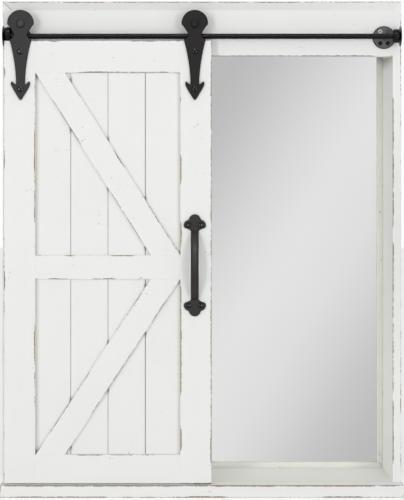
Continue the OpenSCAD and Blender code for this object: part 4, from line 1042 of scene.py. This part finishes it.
def disc_profile(r, deep):
    """A hub that flares out as a square, a thin rim, and a face that bulges as a cube."""
    hub = rod_r + HUB_OVER
    flare = [(HUB_LONG * (1 - 0.7 * (1 - q) ** 2), hub + FLARE * q ** 2) for q in np.linspace(0, 1, 6)]
    rim = [(HUB_LONG, r - 0.5), (HUB_LONG + 0.1, r - 0.15), (HUB_LONG + 0.35, r)]
    dome = [(deep - 0.25 - 0.85 * (q ** 3), r * q) for q in np.linspace(1, 0.05, 14)]
    return [(0.0, 1.0), (0.0, hub)] + flare + rim + dome


one_end = [(-rod_half, rod_r - 0.4), (-rod_half + 0.4, rod_r), (-rod_half + 1, rod_r)]
turned("rod", one_end + mirrored(one_end), (0, rod_y, rod_z), "x",
       (rod_black, "cabinet", "rail_rod", "black_steel"))
for side, name in ((-1, "left"), (1, "right")):
    low, high = box_of("stop_ring_" + name)
    turned("ring_" + name, ring_profile((high[0] - low[0]) * 500, (high[2] - low[2]) * 500),
           (low + high) / 2, "x", (rod_black, "cabinet", "stop_ring_" + name, "black_steel"))
    low, high = box_of("rail_end_cap_" + name)
    profile = disc_profile((high[2] - low[2]) * 500, (high[0] - low[0]) * 1000)
    place = ((low[0] if side > 0 else high[0]), rod_y, rod_z)
    turned("end_disc_" + name, [(side * h, q) for h, q in profile], place, "x",
           (rod_black, "cabinet", "rail_end_cap_" + name, "black_steel"), turns=64)
print(f"rod: {2 * rod_half:.0f} mm long, {2 * rod_r:.1f} mm thick")

# %% Brackets
FLANGE_THICK, SCREW_HEAD, HOLE_X, HOLE_Z = 2.5, 3.0, 5.3, 8.4       # mm
SCREW_SEAT = 0.0021             # how far the screws' heads begin in front of the case, metres
# the post from inside the flange to the rod, as (place, radius) in mm, with a collar before the flange
POST = [(0.5, 2.0), (-2.4, 2.0), (-2.6, 3.1), (-3.2, 3.0), (-3.4, 2.05), (-14.8, 2.0)]
PALE_SCREWS = {("right", 0): zinc_grey, ("right", 1): flange_grey}
turn = np.linspace(0, 2 * np.pi, 96, endpoint=False)
for name in ("left", "right"):
    low, high = box_of("rail_bracket_" + name)
    x, r = (low[0] + high[0]) / 2, (high[0] - low[0]) * 500
    outline = r * np.stack([np.cos(turn), np.sin(turn)], 1)
    holes = [(i * HOLE_X, k * HOLE_Z, SCREW_HEAD + 0.05, 1.55, 1.6) for i in (-1, 1) for k in (-1, 1)]
    cut_plate("flange_" + name, outline, holes, FLANGE_THICK, 0.6, (x, front_y, rod_z),
              (flange_grey, "cabinet", "rail_bracket_" + name, "grey_steel"), rim=0.9, cone_shade=0.35)
    turned("post_" + name, POST, (x, front_y, rod_z), "y",
           (rod_black, "cabinet", "rail_bracket_" + name, "grey_steel"), turns=32)
    for n, (i, k) in enumerate(((-1, 1), (1, 1), (-1, -1), (1, -1))):
        coat = PALE_SCREWS.get((name, n), screw_black)
        place = (x + i * HOLE_X / 1000, front_y - SCREW_SEAT, rod_z + k * HOLE_Z / 1000)
        screw(f"bracket_screw_{name}_{n}", place, (coat, "cabinet", "bracket_screws", "grey_steel"),
              SCREW_HEAD - 0.1, 0.45, 0.5 + n, sunk=1.3, arm_wide=0.3 if coat == zinc_grey else 0.15,
              shade=0.97)
print(f"flanges: {2 * r:.0f} mm across")

# %% [markdown]
# ## Hangers
#
# Each hanger is a flat strap with a round head, a waist, shoulders and an arrow at its end. The outline is
# one arc and six quadratic curves, mirrored about the middle line. A bolt with a flat domed head carries
# the wheel behind the head, and two round-headed screws fix the strap to the stile.

# %% The strap's outline
def bow(a, b, c, steps):
    """Points a (1 - t)^2 + 2 b t (1 - t) + c t^2, which leave a and reach c towards b."""
    t = np.linspace(0, 1, steps + 1)[:, None]
    a, b, c = (np.array(p, float) for p in (a, b, c))
    return a * (1 - t) ** 2 + 2 * b * t * (1 - t) + c * t ** 2


HEAD_R, HEAD_UP, LONG = 18.5, 1.0, 106.0        # mm: the head's radius, its centre over the bolt, the length
EAR = 4                                         # where the head's arc ends, degrees under level
ear = (HEAD_R * math.cos(math.radians(EAR)), HEAD_UP - HEAD_R * math.sin(math.radians(EAR)))
waist, shoulder, neck = (9, -14.5), (15.3, -21.5), (6.1, -LONG + 28)
half = np.concatenate([
    bow(ear, (12.6, -6.6), waist, 10),
    bow(waist, (9.6, -19.4), shoulder, 8)[1:],
    bow(shoulder, (7.4, (shoulder[1] + neck[1]) / 2), neck, 24)[1:],
    bow((6.1, -LONG + 21.8), (8.6, -LONG + 22.6), (11.2, -LONG + 25.6), 5),
    bow((12.2, -LONG + 26), (13.6, -LONG + 24.2), (13.2, -LONG + 22.4), 4),
    bow((12.9, -LONG + 20.8), (9.8, -LONG + 13.5), (1.2, -LONG + 0.6), 12)])
head = np.radians(np.linspace(180 + EAR, -EAR, 60))[1:-1]
head = np.stack([HEAD_R * np.cos(head), HEAD_UP + HEAD_R * np.sin(head)], 1)
strap_outline = np.concatenate([head, half, half[::-1] * (-1, 1)])[::-1].copy()
strap_low, strap_high = box_of("hanger_left")
strap_thick = (strap_high[1] - strap_low[1]) * 1000
print(f"strap: {LONG:.0f} mm under the bolt, {strap_thick:.1f} mm thick")

# %% Bolt, nut and wheel
GROOVE_R, GROOVE_OVER = 4.05, 2.5       # mm: the groove's arc, and its centre over the wheel's rim
SCREWS_DOWN = (0.0385, 0.091)           # the strap's screws under the axle, metres
bolt_low, bolt_high = box_of("axle_bolt_left")
axle_z = (bolt_low[2] + bolt_high[2]) / 2


def bolt_profile(head_r, back):
    """A shank to the back, a round head with a soft dome, and a dimple as exp(-(r / 0.9)^2) in it."""
    dimple = [(-2.34 + 0.25 * math.exp(-(q / 0.9) ** 2), q) for q in np.linspace(2.4, 0.1, 10)]
    return [(back, 1.0), (back - 0.5, 2.5), (0.0, 2.5), (0.0, head_r), (-0.9, head_r),
            (-1.35, head_r - 0.25), (-1.6, head_r - 0.9), (-1.75, head_r - 1.5), (-2.1, head_r - 2.2),
            (-2.3, head_r - 3.0)] + dimple


def nut_outline(high):
    """A hexagon of that height, with each corner cut off by 4 hundredths of a side."""
    six = np.radians(np.arange(0, 360, 60))
    corners = high / 2 / math.cos(math.radians(30)) * np.stack([np.cos(six), np.sin(six)], 1)
    sides = np.roll(corners, -1, 0) - corners
    return (corners[:, None] + sides[:, None] * np.array([0.04, 0.5, 0.96])[:, None]).reshape(-1, 2)


def wheel_profile(r):
    """A hub, a web, a rim and a groove, whose arc is (q sin a, r + GROOVE_OVER - q cos a), q GROOVE_R."""
    up = r + GROOVE_OVER
    trough = [(GROOVE_R * math.sin(a), up - GROOVE_R * math.cos(a))
              for a in np.radians(np.linspace(-68, 68, 15)) if up - GROOVE_R * math.cos(a) < r - 0.05]
    lip = trough[-1][0]
    one_side = [(-4.4, 2.55), (-4.4, 4.3), (-4.2, 4.5), (-3.1, 4.6), (-3.0, 5.0), (-3.0, 9.6),
                (-3.2, 10.0), (-3.9, 10.5), (-4.0, 10.8), (-4.0, r - 0.3), (-3.9, r - 0.05),
                (-lip - 0.1, r)]
    return one_side + trough + mirrored(one_side)


print(f"axle {1000 * (axle_z - rod_z):.1f} mm over the rod's middle")

# %% Hangers
# glints: painted highlights on each strap screw's head
for side, coat, bolt_coat, glints in (
        ("left", strap_black, bolt_black, ((-0.4, 0.0, 0.75), (0.45, 0.05, 0.3))),
        ("right", strap_black_shaded, strap_black_shaded, ((-0.4, 0.0, 0.12), (0.45, 0.05, 0.12)))):
    low, high = box_of("hanger_" + side)
    x, strap_front, strap_back = (low[0] + high[0]) / 2, low[1], high[1]
    cut_plate("strap_" + side, strap_outline, (), strap_thick, 0.45, (x, strap_back, axle_z),
              (coat, "door", "hanger_" + side, "black_steel"), rim=0.55)
    low, high = box_of("axle_bolt_" + side)
    profile = bolt_profile((high[0] - low[0]) * 500, (high[1] - strap_front) * 1000)
    # the bolt's rim and dimple rows are drawn darker as painted shade
    turned("bolt_" + side, profile, (x, strap_front, axle_z), "y",
           (bolt_coat, "door", "axle_bolt_" + side, "black_steel"), edge=(3, 5, 6, 7, 18, 19))
    low, high = box_of("axle_nut_" + side)
    cut_plate("nut_" + side, nut_outline((high[2] - low[2]) * 1000), [(0, 0, 2.8, 2.55, 0.4)], 4.0, 0.5,
              (x, high[1], axle_z), (screw_black, "door", "axle_nut_" + side, "black_steel"))
    low, high = box_of("roller_" + side)
    turned("wheel_" + side, wheel_profile((high[2] - low[2]) * 500), ((low[0] + high[0]) / 2, rod_y, axle_z),
           "y", (rod_black, "roller_" + side, "roller_" + side, "black_steel"), turns=72, hollow=True)
    for n, down in enumerate(SCREWS_DOWN):
        screw(f"strap_screw_{side}_{n}", (x, strap_front, axle_z - down),
              (screw_black, "door", "hanger_screws", "black_steel"), 4.45, 1.1, 0.7 + 0.2 * n,
              shank_r=1.75, long=13.0, recess=1.1, glints=glints)
print("hangers ready")

# %% [markdown]
# ## The pull
#
# The pull is cast iron under a dark bronze paint: two plates of three lobes, joined by a bowed grip whose
# front edges are sloped. Casting leaves every arris soft. Each plate is held by two screws sunk in cones.

# %% The plates' outline
def sweep(centre, r, start, stop, steps):
    """Points on an arc about centre, from one angle to another."""
    a = np.linspace(start, stop, steps)
    return np.array(centre) + r * np.stack([np.cos(a), np.sin(a)], 1)


def angle(way):
    """The angle of a direction (x, z)."""
    return math.atan2(way[1], way[0])


# mm: the whole length, the radii of end lobe, side lobe and the hollow between them, and the end lobe's
# centre over the line through the screws; the turn is where the side lobe's arc gives way to the foot
PULL_LONG, END_R, SIDE_R, BLEND_R, LOBE_UP, LOBE_TURN = 142.0, 8.1, 7.3, 3.5, 7.1, math.radians(18)
GRIP_WIDE, GRIP_THICK, SLOPE, BACK_SLOPE, FOOT_IN = 11.0, 6.0, 2.4, 0.8, 10.2
PLATE_THICK = 3.2
pull_low, pull_high = box_of("pull_handle")
pull_x, pull_z = (pull_low[0] + pull_high[0]) / 2, (pull_low[2] + pull_high[2]) / 2
screw_off = (pull_high[0] - pull_low[0]) * 500 - SIDE_R
plate_line = PULL_LONG / 2 - END_R - LOBE_UP
E, S = np.array([0, LOBE_UP]), np.array([screw_off, 0])
# the hollow's centre lies at BLEND_R from both lobes' arcs
apart = np.linalg.norm(E - S)
near, far = SIDE_R + BLEND_R, END_R + BLEND_R
toward = (near ** 2 - far ** 2 + apart ** 2) / (2 * apart)
way = (E - S) / apart
B = S + way * toward + np.array([way[1], -way[0]]) * math.sqrt(near ** 2 - toward ** 2)
from_side, from_end = angle(S - B), angle(E - B)
low_point = S + SIDE_R * np.array([math.cos(LOBE_TURN), -math.sin(LOBE_TURN)])
low_bend = low_point - 0.26 * SIDE_R * np.array([math.sin(LOBE_TURN), math.cos(LOBE_TURN)])
middle = np.array([1.3 * screw_off, -0.68 * SIDE_R])
grip_side, foot_low = 0.93 * GRIP_WIDE / 2, -1.26 * SIDE_R
right = np.concatenate([
    [[grip_side / 2, foot_low], [grip_side, foot_low], [grip_side, -1.13 * SIDE_R]],
    bow((1.02 * GRIP_WIDE / 2, -1.08 * SIDE_R), (screw_off, -0.775 * SIDE_R), middle, 8),
    bow(middle, low_bend, low_point, 8)[1:],
    sweep(S, SIDE_R, -LOBE_TURN, angle(B - S), 20)[1:],
    sweep(B, BLEND_R, from_side + 2 * math.pi * (from_side < from_end), from_end, 8)[1:-1],
    sweep(E, END_R, angle(B - E), math.pi / 2, 18)])
lobed = np.concatenate([[[0, foot_low]], right, right[:-1][::-1] * (-1, 1)])
print(f"pull screws: {2 * screw_off:.1f} by {2 * plate_line:.1f} mm apart")

# %% Plates of the pull
holes = [(i * screw_off, 0, 3.65, 1.6, 2.0) for i in (-1, 1)]
for k, name in ((1, "upper"), (-1, "lower")):
    outline = lobed if k > 0 else (lobed * (1, -1))[::-1].copy()
    z = pull_z + k * plate_line / 1000
    cut_plate("pull_plate_" + name, outline, holes, PLATE_THICK, 1.3, (pull_x, door_front, z),
              (plate_black_shaded, "door", "pull_handle", "dark_bronze"))
    for i, side in ((-1, "left"), (1, "right")):
        # the two glints' strengths: painted highlights
        outer, inner = (0.85, 0.25) if k > 0 or i > 0 else (0.2, 0.6)
        place = (pull_x + i * screw_off / 1000, door_front - (PLATE_THICK - 1.0) / 1000, z)
        screw(f"pull_screw_{name}_{side}", place, (screw_black, "door", "handle_screws", "dark_bronze"),
              3.2, 0.6, 0.8 + 0.1 * i * k, sunk=1.2, recess=0.8,
              glints=((0.42 * i, 0.05, outer), (-0.42 * i, 0.0, inner)))
print("plates and their screws ready")

# %% Grip
GRIP_SOFT = 0.5                 # rounding of the grip's corners, mm


def softened(corners, soft):
    """A closed outline whose corners are small bows, which leave the edges soft mm before each corner."""
    corners = np.array(corners, float)
    bows = []
    for n, corner in enumerate(corners):
        ends = []
        for other in (corners[n - 1], corners[(n + 1) % len(corners)]):
            long = np.linalg.norm(other - corner)
            ends.append(corner + (other - corner) / long * min(soft, long * 0.45))
        bows.append(bow(ends[0], corner, ends[1], 3))
    return np.concatenate(bows)


# the grip's middle line is an arc through both feet, sunk by a few degrees more into the plates
grip_half = plate_line - FOOT_IN
rise = (door_front - pull_low[1]) * 1000 - GRIP_THICK / 2 - PLATE_THICK / 2
grip_r = (grip_half ** 2 + rise ** 2) / (2 * rise)
grip_turn = math.asin(grip_half / grip_r) + math.radians(4)
w, o, i = GRIP_WIDE / 2, GRIP_THICK / 2, -GRIP_THICK / 2
bar = softened([(-w + BACK_SLOPE, i), (w - BACK_SLOPE, i), (w, i + BACK_SLOPE), (w, o - SLOPE),
                (w - SLOPE, o), (-w + SLOPE, o), (-w, o - SLOPE), (-w, i + BACK_SLOPE)], GRIP_SOFT)
phi = np.linspace(-grip_turn, grip_turn, 61)[:, None]
arc_y = door_front * 1000 - PLATE_THICK / 2 - rise + grip_r
reach = grip_r + bar[None, :, 1]
points = np.stack([pull_x * 1000 + (bar[None, :, 0] + 0 * phi), arc_y - reach * np.cos(phi),
                   pull_z * 1000 + reach * np.sin(phi)], -1)
points[..., 1] = np.minimum(points[..., 1], door_front * 1000)      # cut off at the door's face
# the sloped front edges are drawn darker as painted shade
edge = np.clip((np.abs(bar[:, 0]) - (w - SLOPE)) / 0.6, 0, 1)[None] + 0 * phi
put("pull_grip", points, grid_faces(*points.shape[:2]), (cast_black, "door", "pull_handle", "dark_bronze"),
    {"edge": edge})
print(f"grip: bent on a radius of {grip_r:.0f} mm")

# %% [markdown]
# ## The guide
#
# A small steel foot is let into the ledge under the door's right part, and its blade runs in a kerf under
# the door, so that the door can't swing out.

# %% Guide
dress("door_guide", strap_black)
dress("guide_screws", screw_black)
